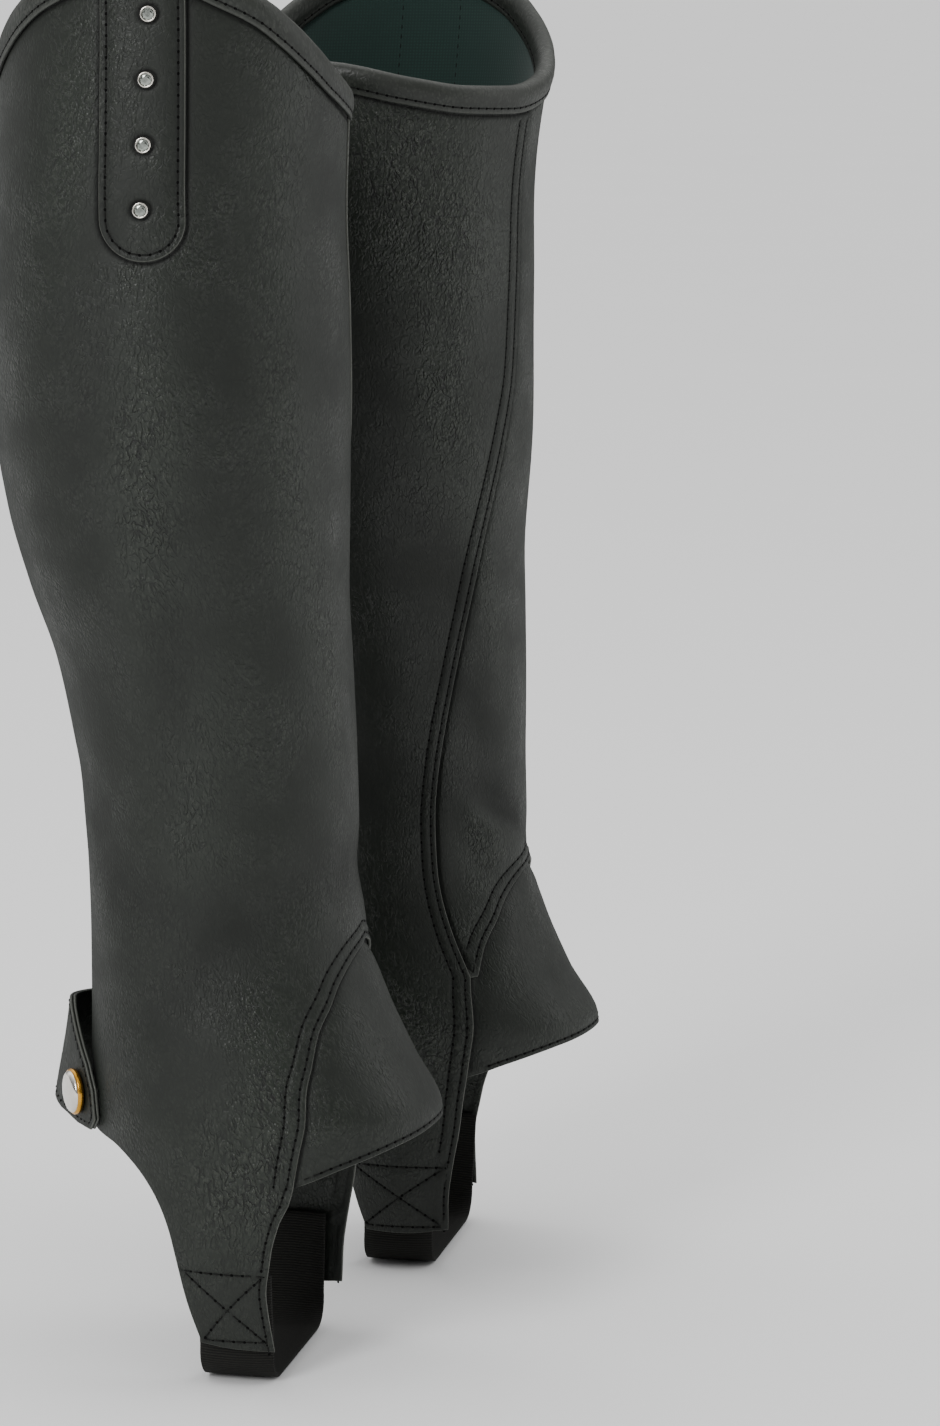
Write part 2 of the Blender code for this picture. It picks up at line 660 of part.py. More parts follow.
def add_zip(chap):
    """Two tapes, the closed chain, and the slider with its pull."""
    top = rim_height(0) - ZIP_BELOW_RIM
    for part, side in (("outer", 1), ("inner", -1)):
        add_zip_strip(chap, f"{chap.name}_zip_tape_{part}", side, CHAIN_HALF + SEAM_GAP, TAPE_EDGE,
                      (TAPE_OUT, TAPE_IN), top, WEBBING_FINISH, middle=PANEL_EDGE + 2)
    add_zip_strip(chap, f"{chap.name}_zip_chain", 1, -CHAIN_HALF, CHAIN_HALF,
                  (CHAIN_OUT, CHAIN_IN), top - 2, WEBBING_FINISH)
    add_slider(chap)
    add_pull(chap)


def pull_pivot(chap):
    """The axis of the pull, on the slider's lug; it runs across the zip."""
    out = CHAIN_OUT + SEAM_GAP + SLIDER_THICK + LUG_RISE
    return skin_point(chap, 0, SLIDER_HEIGHT, out)


def slider_frame(chap):
    normal = skin_normal(chap, 0, SLIDER_HEIGHT)
    normal.x = 0
    normal.normalize()
    across = Vector((1, 0, 0))
    return across, normal, across.cross(normal).normalized()


def box_ring(place, frame, half_width, spots):
    """Two copies of a side outline of (out, up) spots, half_width to each side."""
    across, normal, up = frame
    outline = [place + normal * out + up * rise for out, rise in spots]
    return [[p - across * half_width for p in outline], [p + across * half_width for p in outline]]


def add_slider(chap):
    """The slider's body with its two lugs, made one by a union."""
    frame = slider_frame(chap)
    base = skin_point(chap, 0, SLIDER_HEIGHT, CHAIN_OUT + SEAM_GAP)
    half = SLIDER_LENGTH / 2
    body = [(0, -half), (SLIDER_THICK - 0.7, -half), (SLIDER_THICK, -half + 1.2),
            (SLIDER_THICK, half - 1.2), (SLIDER_THICK - 0.7, half), (0, half)]
    slider = add_solid(f"{chap.name}_zip_slider", *swept(box_ring(base, frame, SLIDER_HALF, body)),
                       SILVER_FINISH)
    lug_top = SLIDER_THICK + LUG_RISE + LUG_RADIUS
    lug = [(SLIDER_THICK - 0.5, -2.2), (lug_top - 1, -1.5), (lug_top, 0), (lug_top - 1, 1.5),
           (SLIDER_THICK - 0.5, 2.2)]
    width = (LUG_HALF - LUG_GAP_HALF) / 2
    middle = (LUG_HALF + LUG_GAP_HALF) / 2
    for number, side in enumerate((-1, 1)):
        place = base + frame[0] * middle * side
        cutter = add_solid(f"{chap.name}_lug_{number}", *swept(box_ring(place, frame, width, lug)),
                           SILVER_FINISH)
        cutter.hide_render = True
        cutter.display_type = "WIRE"
        union = slider.modifiers.new(f"lug {number}", "BOOLEAN")
        union.operation = "UNION"
        union.solver = "EXACT"
        union.object = cutter
    return slider


def add_pull(chap):
    """The pull tab, hanging from its eye between the lugs; its origin is on its axis."""
    across, normal, up = frame = slider_frame(chap)
    pivot = pull_pivot(chap)
    sides = 10
    eye = [(PULL_EYE_RADIUS * math.cos(2 * math.pi * i / sides),
            PULL_EYE_RADIUS * math.sin(2 * math.pi * i / sides)) for i in range(sides)]
    pull = add_solid(f"{chap.name}_zip_pull", *swept(box_ring(pivot, frame, PULL_EYE_HALF, eye)),
                     SILVER_FINISH, origin=pivot)
    half = PULL_THICK / 2
    widths = [(0.6, PULL_EYE_HALF * 0.85), (3.4, PULL_EYE_HALF * 0.85), (6.5, PULL_HALF),
              (PULL_LENGTH - 3, PULL_HALF), (PULL_LENGTH - 1, PULL_HALF * 0.8),
              (PULL_LENGTH, PULL_HALF * 0.45)]
    rings = []
    for drop, wide in widths:
        spot = pivot - up * drop
        rings.append([spot + across * x + normal * out
                      for x, out in ((-wide, -half), (wide, -half), (wide, half), (-wide, half))])
    plate = add_solid(f"{chap.name}_pull_plate", *swept(rings), SILVER_FINISH, origin=pivot)
    plate.hide_render = True
    plate.display_type = "WIRE"
    union = pull.modifiers.new("plate", "BOOLEAN")
    union.operation = "UNION"
    union.solver = "EXACT"
    union.object = plate
    return pull


def elastic_path():
    """(side, height) down the outer side, under the sole and up the inner side."""
    inset = LEATHER + ELASTIC_INSET + ELASTIC_THICK / 2
    down = []
    for i in range(ELASTIC_SIDE_ROWS + 1):
        low = ELASTIC_LOW + ELASTIC_CORNER
        height = ELASTIC_TOP + (low - ELASTIC_TOP) * i / ELASTIC_SIDE_ROWS
        down.append((section_at(height).half_width - inset, height))
    side = down[-1][0]
    corner = []
    for i in range(1, ELASTIC_CORNER_STEPS + 1):
        angle = math.pi / 2 * i / ELASTIC_CORNER_STEPS
        corner.append((side - ELASTIC_CORNER * (1 - math.cos(angle)),
                       ELASTIC_LOW + ELASTIC_CORNER * (1 - math.sin(angle))))
    half = down + corner
    return half + [(-s, h) for s, h in reversed(half)]


def add_foot_strap(chap):
    """The elastic webbing, sewn behind both strap ends and passing under the sole."""
    path = [Vector(spot) for spot in elastic_path()]
    rings = []
    for i, spot in enumerate(path):
        run = (path[min(len(path) - 1, i + 1)] - path[max(0, i - 1)]).normalized()
        out = Vector((-run.y, run.x)) * ELASTIC_THICK / 2
        share = min(1.0, (spot.y - ELASTIC_LOW) / ELASTIC_CORNER)
        bow = Vector((math.copysign(ELASTIC_BOW * share, spot.x), 0))
        corners = []
        for edge, face in ((-1, 1), (0, 1), (1, 1), (1, -1), (0, -1), (-1, -1)):
            side, height = spot + out * face - bow * abs(edge)
            forward = ELASTIC_FORWARD + edge * ELASTIC_HALF
            lean = math.tan(math.radians(chap.lean)) * (height - ORIGIN_HEIGHT)
            corners.append(Vector((chap.x + chap.outward * side, chap.y - forward - lean,
                                   height - ORIGIN_HEIGHT)))
        rings.append(corners)
    return add_solid(f"{chap.name}_foot_strap", *swept(rings), WEBBING_FINISH)


def add_chap(chap):
    add_outer_panel(chap)
    add_inner_panel(chap)
    add_ankle_flap(chap)
    add_lining(chap)
    add_top_binding(chap)
    add_crest_tab(chap)
    add_crystals(chap)
    add_snap_tab(chap)
    add_snap_cap(chap)
    add_zip(chap)
    add_foot_strap(chap)


def clear_scene():
    for obj in list(bpy.data.objects):
        bpy.data.objects.remove(obj, do_unlink=True)


clear_scene()
for one_chap in CHAPS:
    add_chap(one_chap)
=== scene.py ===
"""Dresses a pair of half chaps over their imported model.

Each chap is a leg form that leather panels, a lining, a rim binding, tabs and a zip lie on.
A place on the form is a spot: a turn in degrees (0 at the back, 90 on the outer side, 180 in
front, 270 on the inner side) and a height in millimetres above the ground.
"""

import logging
import math
from dataclasses import dataclass, field
from enum import Enum
from functools import cache
from typing import Callable, NamedTuple, Sequence, TypeVar

import bmesh
import bpy
import numpy as np
from bpy.types import ID, Material, Node, NodeSocket, NodeTree, Object
from mathutils import Matrix, Vector
from mathutils.geometry import delaunay_2d_cdt


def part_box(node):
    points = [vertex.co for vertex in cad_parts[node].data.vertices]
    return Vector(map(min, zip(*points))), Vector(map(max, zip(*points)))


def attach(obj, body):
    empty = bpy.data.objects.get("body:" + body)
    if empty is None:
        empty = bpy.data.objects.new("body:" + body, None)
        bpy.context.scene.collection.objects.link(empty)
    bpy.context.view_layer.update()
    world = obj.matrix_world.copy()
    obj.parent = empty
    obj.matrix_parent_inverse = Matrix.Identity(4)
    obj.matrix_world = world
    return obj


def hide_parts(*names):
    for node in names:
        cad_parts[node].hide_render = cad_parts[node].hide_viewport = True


Array = np.ndarray
Depth = Callable[[Array], Array]  # gives a number at each spot, such as millimetres out
Inputs = dict[str | int, object]  # a node's inputs: values, sockets, or nodes' first outputs
Entry = TypeVar("Entry")

LOG = logging.getLogger("chaps")
MM = 0.001
ORIGIN_HEIGHT = 330.0  # height of the frame's origin above the ground, mm
MM_PER_DEGREE = 0.9  # girth that one degree of turn takes up, on average
BODY = "pair"  # the body of the frame that every fixed piece rides on
NORMAL_STEP = 0.6  # degrees and millimetres between the samples of a normal
SAME_PLACE = 0.35  # millimetres within which two spots of a line are one
MITRE_LIMIT = 0.45  # the least share of a full mitre's divisor, where a ring turns sharply
ROW_SPACING = 1.0  # millimetres between the points of a row of stitches or teeth
ROW_SHORT = 1.6  # millimetres that a row stops short of each end of its line
CUT_ROWS, CUT_SAMPLES = 12, 60  # heights, and turns at each, that a cut's width is measured at

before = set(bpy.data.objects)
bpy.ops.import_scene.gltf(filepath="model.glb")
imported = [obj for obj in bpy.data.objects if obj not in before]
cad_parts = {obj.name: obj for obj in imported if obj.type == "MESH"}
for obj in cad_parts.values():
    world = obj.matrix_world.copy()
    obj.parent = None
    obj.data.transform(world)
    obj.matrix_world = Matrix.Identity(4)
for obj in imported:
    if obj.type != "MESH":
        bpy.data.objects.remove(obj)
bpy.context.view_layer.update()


# ---- the leg form's tables ----
class Section(NamedTuple):
    """One oval section; sizes are forward (+) and back (-) of the leg's axis."""

    height: float
    back: float
    widest: float
    front: float
    half_width: float


class Fold(NamedTuple):
    """A soft trough (depth under 0) or swell, or a patch of creased grain."""

    turn: float
    height: float
    tilt: float
    length: float
    width: float
    depth: float


class Spot(NamedTuple):
    """A place on the leg form."""

    turn: float
    height: float


class StandOff(NamedTuple):
    """How far the snap tab stands off the leather at a turn, at its two edges."""

    turn: float
    low: float
    high: float


class Step(NamedTuple):
    """A step of a profile: millimetres out, or from its axis, and millimetres up."""

    out: float
    rise: float


def table(kind: Callable[..., Entry], *rows: Sequence[float]) -> tuple[Entry, ...]:
    """Makes each row of numbers an entry of its kind."""
    return tuple(kind(*row) for row in rows)


SECTIONS = table(
    Section, (6, -10, 28, 66, 37), (30, -18, 28, 74, 40.5), (60, -24, 30, 85, 43),
    (92, -28.2, 26.5, 89, 44.5), (110, -28, 22.6, 80, 43), (130, -27.7, 19.6, 70.5, 41),
    (150, -27.7, 17.4, 63.8, 39.5), (185, -29.4, 16, 61.4, 39.5), (215, -32.8, 13.8, 60.4, 41),
    (240, -37.7, 10.8, 59.2, 43.5), (265, -46.4, 5.8, 58, 47), (290, -53.3, 2.5, 58.3, 50.5),
    (320, -57.6, 0.5, 58.5, 53.5), (354, -58.6, -0.3, 58, 54.5), (385, -57.2, 0, 57, 54.1),
    (416, -54.6, 1.6, 58, 53.6), (450, -52, 3.2, 59.5, 53.2), (480, -51, 4, 60, 53),
)
RIGHT_FOLDS = table(
    Fold, (182, 172, 0, 46, 10, -1.6), (110, 157, 28, 30, 9, -1.5), (84, 134, 20, 26, 9, -1.2),
    (52, 168, -14, 32, 11, -1.4), (28, 196, -30, 26, 12, -1.0), (92, 240, 78, 62, 10, -1.3),
    (74, 318, 82, 70, 12, -1.1), (128, 338, 94, 66, 13, -1.2), (290, 176, 12, 36, 11, -1.5),
    (255, 150, -24, 28, 9, -1.2), (280, 300, 84, 64, 13, -1.1),
)
LEFT_FOLDS = table(
    Fold, (200, 169, 27, 30, 6, -2.6), (208, 157, 18, 24, 8, 2.0), (226, 158, 48, 13, 5, -1.5),
    (226, 205, 62, 34, 10, -1.1), (262, 184, 16, 30, 11, -1.3), (236, 268, 74, 60, 12, -1.3),
    (262, 330, 86, 62, 13, -1.1), (112, 168, 20, 34, 10, -1.5), (62, 152, -18, 30, 10, -1.2),
    (96, 262, 80, 62, 11, -1.2), (66, 330, 84, 60, 13, -1.0), (188, 436, 0, 60, 24, 3.0),
    (186, 300, 0, 46, 26, 1.2), (180, 88, 0, 30, 12, 2.4),
)
# Patches where the grain is drawn up into fine creases; the rest of the leather is smoother.
RIGHT_GRAIN = table(
    Fold, (94, 300, 88, 62, 13, 1.0), (141, 312, 98, 60, 11, 0.9), (88, 198, 76, 36, 16, 0.7),
    (94, 72, 0, 24, 28, 1.0), (109, 108, 72, 24, 7, 0.8), (70, 408, 88, 40, 9, 0.7),
    (142, 398, 90, 36, 12, 0.6), (160, 240, 88, 40, 8, 0.6), (262, 330, 88, 60, 12, 0.9),
    (232, 372, 80, 44, 14, 0.8), (268, 80, 10, 30, 22, 0.9), (300, 210, 80, 40, 12, 0.6),
)
LEFT_GRAIN = table(
    Fold, (240, 388, 50, 46, 22, 1.0), (233, 322, 92, 44, 12, 0.8), (222, 157, 90, 18, 9, 0.9),
    (224, 116, 60, 18, 9, 0.7), (256, 362, 90, 34, 9, 0.6), (212, 250, 80, 46, 8, 0.6),
    (268, 90, 10, 30, 26, 0.9), (95, 300, 88, 62, 13, 1.0), (140, 312, 98, 60, 11, 0.9),
    (90, 198, 76, 36, 16, 0.7), (94, 72, 0, 24, 28, 1.0),
)
RIM = table(
    Spot, (0, 431), (18, 434), (30, 441), (42, 449), (56, 456.5), (72, 462), (90, 464.5),
    (108, 462), (122, 456.5), (134, 451), (145, 444), (157, 436), (170, 428.5), (186, 423),
    (205, 420), (226, 420.5), (247, 423.5), (273, 428.5), (310, 431), (360, 431),
)
INNER_SEAM = table(
    Spot, (192.5, 402), (194.5, 359), (197, 326), (203.5, 300), (214.5, 263), (230, 223),
    (240, 190), (243, 166), (242, 139), (238, 113),
)
FLAP_SEAM = table(
    Spot, (180, 149), (165, 145.5), (149, 138), (141, 131.5), (132, 123.5), (125, 113),
    (119, 103), (115, 92), (112, 81), (110.5, 74),
)
FLAP_HEM = table(
    Spot, (105, 72), (110.5, 74), (127, 80), (154, 86.5), (180, 89.5), (206, 87), (231, 82),
    (244, 78), (250, 76),
)
OUTER_STRAP_FRONT = table(
    Spot, (110.5, 74), (109, 69), (105.5, 62), (103.5, 52), (103.5, 42), (106, 30), (109.5, 18),
)
INNER_STRAP_FRONT = table(
    Spot, (238, 113), (243, 95), (246, 78), (247.5, 66), (248, 52), (247, 38), (244, 21),
)
REAR_HEM = table(
    Spot, (76, 20), (71, 34), (67, 48), (64, 59), (59.5, 69.5), (52, 78), (40, 83.5), (15, 85.5),
    (8, 86),
)
SNAP_TAB = table(
    Spot, (-36, 121), (-16, 124), (6, 126), (13.5, 121), (21, 113.5), (27.5, 107), (32, 99),
    (33, 89.5), (28.5, 85.5), (16, 85.5), (4, 88), (-9, 91.5), (-22, 93.5), (-36, 94),
)
SNAP_STAND_OFF = table(
    StandOff, (-36, 0.8, 0.7), (-25, 9.8, 3.2), (-14, 16.0, 5.9), (-5, 14.6, 6.6), (2, 10.8, 6.2),
    (9, 6.2, 5.2), (18, 2.6, 3.6), (26, 1.2, 2.2), (33, 0.4, 1.0),
)


# ---- curves through tables ----
def hermite(xs: Sequence[float], ys: Sequence[float], x: Array) -> Array:
    """Reads a smooth curve through points, with no overshoot between them.

    Args:
        xs: The points' places, rising.
        ys: The points' values.
        x: Where to read it.

    Returns:
        The values at x.
    """
    xs, ys = np.asarray(xs, float), np.asarray(ys, float)
    slopes = np.diff(ys) / np.diff(xs)
    before, after = slopes[:-1], slopes[1:]
    same_way = before * after > 0
    total = np.where(same_way, before + after, 1.0)
    middle = np.where(same_way, 2 * before * after / total, 0.0)
    tangents = np.concatenate([slopes[:1], middle, slopes[-1:]])
    x = np.clip(x, xs[0], xs[-1])
    i = np.clip(np.searchsorted(xs, x, side="right") - 1, 0, len(xs) - 2)
    step = xs[i + 1] - xs[i]
    t = (x - xs[i]) / step
    return (
        ys[i] * (1 + 2 * t) * (1 - t) ** 2
        + tangents[i] * step * t * (1 - t) ** 2
        + ys[i + 1] * t * t * (3 - 2 * t)
        + tangents[i + 1] * step * t * t * (t - 1)
    )


def rim_height(turn: Array) -> Array:
    """The height of the rim at each turn."""
    return hermite([p.turn for p in RIM], [p.height for p in RIM], np.mod(turn, 360))


def section_at(height: Array) -> tuple[Array, ...]:
    """The leg form's back, widest, front and half width at each height."""
    heights, *columns = zip(*SECTIONS)
    return tuple(hermite(heights, column, height) for column in columns)


def turn_across(across: float, height: Array) -> Array:
    """The turn of a point this far across the zip, at each height."""
    return np.degrees(np.arcsin(across / section_at(height)[3]))


def ease(share: Array) -> Array:
    """A smooth step from 0 to 1 as share goes from 0 to 1."""
    share = np.clip(share, 0.0, 1.0)
    return share * share * (3 - 2 * share)


def bump(distance: Array, width: float) -> Array:
    """A round bump of height 1 at distance 0."""
    return np.exp(-((distance / width) ** 2))


def folds_at(folds: Sequence[Fold], spots: Array) -> Array:
    """Sums the folds' depths.

    Args:
        folds: The table of folds.
        spots: Turns and heights, one row a place.

    Returns:
        The depth at each spot.
    """
    total = np.zeros(len(spots))
    for fold in folds:
        around = np.mod(spots[:, 0] - fold.turn + 180, 360) - 180
        side, up = around * MM_PER_DEGREE, spots[:, 1] - fold.height
        tilt = math.radians(fold.tilt)
        along = side * math.cos(tilt) + up * math.sin(tilt)
        across = up * math.cos(tilt) - side * math.sin(tilt)
        total += fold.depth * np.exp(-((along / fold.length) ** 2) - (across / fold.width) ** 2)
    return total


def flat_of(spots: Array) -> Array:
    """The spots laid flat, in millimetres along and up."""
    return spots * np.array([MM_PER_DEGREE, 1.0])


def spots_of(flat: Array) -> Array:
    """The spots of places laid flat."""
    return flat / np.array([MM_PER_DEGREE, 1.0])


def pairs(first: Array | float, second: Array | float) -> Array:
    """Sets two rows of numbers side by side, as pairs."""
    return np.stack(np.broadcast_arrays(first, second), axis=1)


def reach_of(points: Array) -> Array:
    """How far along a run of points each one lies, from 0 at the first."""
    return np.concatenate([[0.0], np.cumsum(np.linalg.norm(np.diff(points, axis=0), axis=1))])


def left_of(run: Array) -> Array:
    """The unit step to the left of each flat step."""
    run = run / np.maximum(np.linalg.norm(run, axis=1), 1e-9)[:, None]
    return pairs(-run[:, 1], run[:, 0])


@dataclass(frozen=True)
class Line:
    """A line on the leg form, as an array of spots in order."""

    spots: Array

    @classmethod
    def through(cls, points: Sequence[Spot], spacing: float = 4.0) -> "Line":
        """A smooth line through a table's points.

        Args:
            points: The table.
            spacing: Millimetres between the line's spots.

        Returns:
            The line.
        """
        spots = np.array([tuple(p) for p in points], float)
        reach = reach_of(flat_of(spots))
        at = np.linspace(0, reach[-1], max(2, round(reach[-1] / spacing) + 1))
        return cls(np.stack([hermite(reach, spots[:, k], at) for k in (0, 1)], axis=1))

    def beside(self, shift: float) -> "Line":
        """The line moved this many millimetres to its left."""
        flat = flat_of(self.spots)
        return Line(spots_of(flat + left_of(np.gradient(flat, axis=0)) * shift))

    def mirrored(self) -> "Line":
        """The same line on the other side of the leg, run the other way."""
        return Line(np.array([360, 0]) + self.spots[::-1] * np.array([-1, 1]))

    def reversed(self) -> "Line":
        """The line run the other way."""
        return Line(self.spots[::-1])

    def part(self, keep: Array) -> "Line":
        """The spots of the line that keep marks."""
        return Line(self.spots[keep])

    def signed(self, spots: Array) -> Array:
        """Measures how far spots lie from the line.

        Args:
            spots: The places to measure.

        Returns:
            Millimetres from the line, positive to its left.
        """
        line, points = flat_of(self.spots), flat_of(spots)
        start, run = line[:-1], np.diff(line, axis=0)
        gap = points[:, None, :] - start[None]
        share = np.clip((gap * run).sum(2) / (run * run).sum(1), 0, 1)
        away = gap - share[..., None] * run
        distance = np.linalg.norm(away, axis=2)
        nearest = distance.argmin(axis=1)
        rows = np.arange(len(points))
        offset, way = gap[rows, nearest], run[nearest]
        left = np.sign(way[:, 0] * offset[:, 1] - way[:, 1] * offset[:, 0])
        return distance[rows, nearest] * np.where(left == 0, 1.0, left)


def joined(*lines: Line) -> Line:
    """Joins lines that follow on, without spots that repeat.

    Args:
        lines: The lines, in order.

    Returns:
        One line.
    """
    spots = np.concatenate([line.spots for line in lines])
    steps = np.linalg.norm(np.diff(flat_of(spots), axis=0), axis=1)
    return Line(spots[np.concatenate([[True], steps > SAME_PLACE])])


@dataclass(frozen=True)
class Leg:
    """The form of one worn chap: a stack of oval sections with soft folds."""

    name: str
    x: float
    y: float
    outward: int  # the side of x that its outer side faces, -1 or 1
    lean: float  # degrees forward
    folds: tuple[Fold, ...]
    grain: tuple[Fold, ...]

    def form(self, spots: Array, proud: Array) -> Array:
        """Places spots on the plain form.

        Args:
            spots: Turns and heights.
            proud: Millimetres out from the leg's axis.

        Returns:
            Points in millimetres.
        """
        back, widest, front, half_width = section_at(spots[:, 1])
        angle = np.radians(spots[:, 0])
        reach = np.where(np.cos(angle) > 0, widest - back, front - widest)
        side_out, back_out = np.sin(angle) * reach, -np.cos(angle) * half_width
        size = np.hypot(side_out, back_out)
        forward = widest - reach * np.cos(angle) + proud * back_out / size
        sideways = half_width * np.sin(angle) + proud * side_out / size
        rise = spots[:, 1] - ORIGIN_HEIGHT
        lean = math.tan(math.radians(self.lean)) * rise
        return np.stack([self.x + self.outward * sideways, self.y - forward - lean, rise], axis=1)

    def folded(self, spots: Array) -> Array:
        """Points of the leather's face, with the folds, in millimetres."""
        return self.form(spots, folds_at(self.folds, spots))

    def normals(self, spots: Array) -> Array:
        """Finds the way out of the leather.

        Args:
            spots: Turns and heights.

        Returns:
            A unit vector at each spot.
        """
        turn, rise = np.array([NORMAL_STEP, 0.0]), np.array([0.0, NORMAL_STEP])
        around = self.folded(spots + turn) - self.folded(spots - turn)
        upward = self.folded(spots + rise) - self.folded(spots - rise)
        normal = np.cross(around, upward) * -self.outward
        return normal / np.linalg.norm(normal, axis=1)[:, None]

    def place(self, spots: Array, out: Array | float = 0.0) -> Array:
        """Points this far out from the leather's face.

        Args:
            spots: Turns and heights.
            out: Millimetres out, one for all or one each.

        Returns:
            Points in metres.
        """
        out = np.broadcast_to(np.asarray(out, float), (len(spots),))
        return (self.folded(spots) + self.normals(spots) * out[:, None]) * MM


LEGS = (
    Leg("right", -70.0, 15.0, -1, 0.0, RIGHT_FOLDS, RIGHT_GRAIN),
    Leg("left", 70.0, -17.3, 1, 1.9, LEFT_FOLDS, LEFT_GRAIN),
)


# ---- nodes and finishes ----
def linear(code: str) -> tuple[float, ...]:
    """Turns six hex digits of sRGB to linear red, green, blue and a full alpha."""
    shares = [int(code[i:i + 2], 16) / 255 for i in (0, 2, 4)]
    return (*(s / 12.92 if s <= 0.04045 else ((s + 0.055) / 1.055) ** 2.4 for s in shares), 1.0)


def fill(tree: NodeTree, node: Node, inputs: Inputs) -> None:
    """Gives a node its inputs.

    Args:
        tree: The node's tree.
        node: The node.
        inputs: Values, sockets, or nodes for their first outputs, by name or number.
    """
    for key, value in inputs.items():
        source = value.outputs[0] if isinstance(value, Node) else value
        if isinstance(source, NodeSocket):
            tree.links.new(source, node.inputs[key])
        else:
            node.inputs[key].default_value = source


def add_node(tree: NodeTree, kind: str, inputs: Inputs | None = None,
             **settings: object) -> Node:
    """Adds a node to a tree.

    Args:
        tree: The tree.
        kind: The node's type.
        inputs: What fill() gives it.
        settings: The node's own properties.

    Returns:
        The node.
    """
    node = tree.nodes.new(kind)
    for name, value in settings.items():
        setattr(node, name, value)
    fill(tree, node, inputs or {})
    return node


def bands_per(period_mm: float) -> float:
    """The scale of a wave texture whose bands repeat after so many millimetres."""
    return math.pi / 10 / (period_mm * MM)


@dataclass(frozen=True)
class Leather:
    """Coagulated polyurethane leather: a soft low sheen over a fine pressed pebble.

    The pebble stands up where the hide is drawn, and lies nearly flat elsewhere.
    """

    name: str = "synthetic_leather_black"
    face: str = "131712"
    # Painted highlight on the pebble's tops.
    pebble_highlight: str = "30342d"
    # Drawn grain and random tone lighten toward this; the share from fold swells is painted
    # highlight.
    drawn_up_and_lit: str = "1e231d"
    # Painted shade: in the pebble's hollows, and along seams, stitches and fold troughs.
    hollow: str = "060706"
    # Lighter colour of the rounded edges: edge wear, partly painted highlight.
    edge: str = "565852"
    pebble_mm: float = 1.0
    crease_mm: float = 1.9
    drift_scale: float = 34.0  # how close the patches of drawn leather lie, 1/m
    breakup_scale: float = 150.0  # how close the breaks within a patch lie, 1/m
    roughness: float = 0.47
    grazing: float = 0.4
    relief_mm: float = 0.52
    specular: float = 0.34

    def grain(self, tree: NodeTree, uv: NodeSocket) -> Node:
        """Builds the height of the pebble, from 0 in its hollows to about 1 on its tops.

        Args:
            tree: The material's tree.
            uv: The pattern's coordinates, in metres.

        Returns:
            The node that gives the height.
        """
        warp = add_node(tree, "ShaderNodeTexNoise", {"Vector": uv, "Scale": 420.0, "Detail": 1.0})
        shifted = add_node(tree, "ShaderNodeMix", {0: 0.001, 4: uv, 5: warp.outputs["Color"]},
                           data_type="VECTOR").outputs[1]
        pebble, crease = (
            add_node(tree, "ShaderNodeMapping", {"Vector": way, "Scale": (1.0, squash, 1.0),
                     "Rotation": (0, 0, math.radians(degrees))})
            for way, degrees, squash in ((shifted, 12, 0.7), (uv, -28, 0.55)))
        cells = add_node(tree, "ShaderNodeTexVoronoi",
                         {"Vector": pebble, "Scale": 1000 / self.pebble_mm})
        worm = add_node(tree, "ShaderNodeTexNoise", {"Vector": crease, "Detail": 0.0,
                        "Scale": 1000 / self.crease_mm, "Distortion": 0.7})
        off = add_node(tree, "ShaderNodeMath", {0: worm.outputs["Fac"], 1: 0.5},
                       operation="SUBTRACT")
        off = add_node(tree, "ShaderNodeMath", {0: off}, operation="ABSOLUTE")
        top, fold = (
            add_node(tree, "ShaderNodeMapRange", {"Value": value, "From Min": low,
                     "From Max": high, "To Min": at_low, "To Max": at_high},
                     interpolation_type="SMOOTHSTEP")
            for value, low, high, at_low, at_high in (
                (cells.outputs["Distance"], 0.2, 0.62, 0.5, 0.0), (off, 0.01, 0.09, 0.0, 0.55)))
        return add_node(tree, "ShaderNodeMath", {0: top, 1: fold}, operation="ADD")

    def shade(self, tree: NodeTree) -> Inputs:
        """Builds the look on the UV map, in metres, and the piece's own attributes.

        Args:
            tree: The material's tree.

        Returns:
            The shader's inputs.
        """
        uv = add_node(tree, "ShaderNodeTexCoord").outputs["UV"]
        grain_and_ridge_light, worn, painted_shade = (
            add_node(tree, "ShaderNodeAttribute", attribute_name=name).outputs["Fac"]
            for name in ("grain_and_ridge_light", "worn", "painted_shade"))
        height = self.grain(tree, uv)
        breakup, drift = (
            add_node(tree, "ShaderNodeTexNoise", {"Vector": uv, "Scale": scale,
                     "Detail": 3.0}).outputs["Fac"]
            for scale in (self.breakup_scale, self.drift_scale))
        share, spots, tone, dull = (
            add_node(tree, "ShaderNodeMapRange", {"Value": value, "From Min": low,
                     "From Max": high, "To Min": at_low, "To Max": at_high})
            for value, low, high, at_low, at_high in (
                (breakup, 0.36, 0.58, 0.45, 1.0), (drift, 0.4, 0.68, 0.14, 0.55),
                (drift, 0.35, 0.65, 0.1, 0.45),
                (drift, 0.35, 0.65, self.roughness + 0.08, self.roughness - 0.05)))
        patch = add_node(tree, "ShaderNodeMath", {0: grain_and_ridge_light, 1: spots}, operation="MAXIMUM")
        drawn = add_node(tree, "ShaderNodeMath", {0: patch, 1: share}, operation="MULTIPLY")
        rise = add_node(tree, "ShaderNodeMath", {0: height, 1: drawn}, operation="MULTIPLY")
        relief = add_node(tree, "ShaderNodeBump", {"Height": rise, "Strength": 1.0,
                          "Distance": self.relief_mm * MM})
        # Grain patches and random tone, with painted highlight from fold swells.
        layers = [(add_node(tree, "ShaderNodeMath", {0: grain_and_ridge_light, 1: tone}, operation="ADD",
                            use_clamp=True), self.drawn_up_and_lit)]
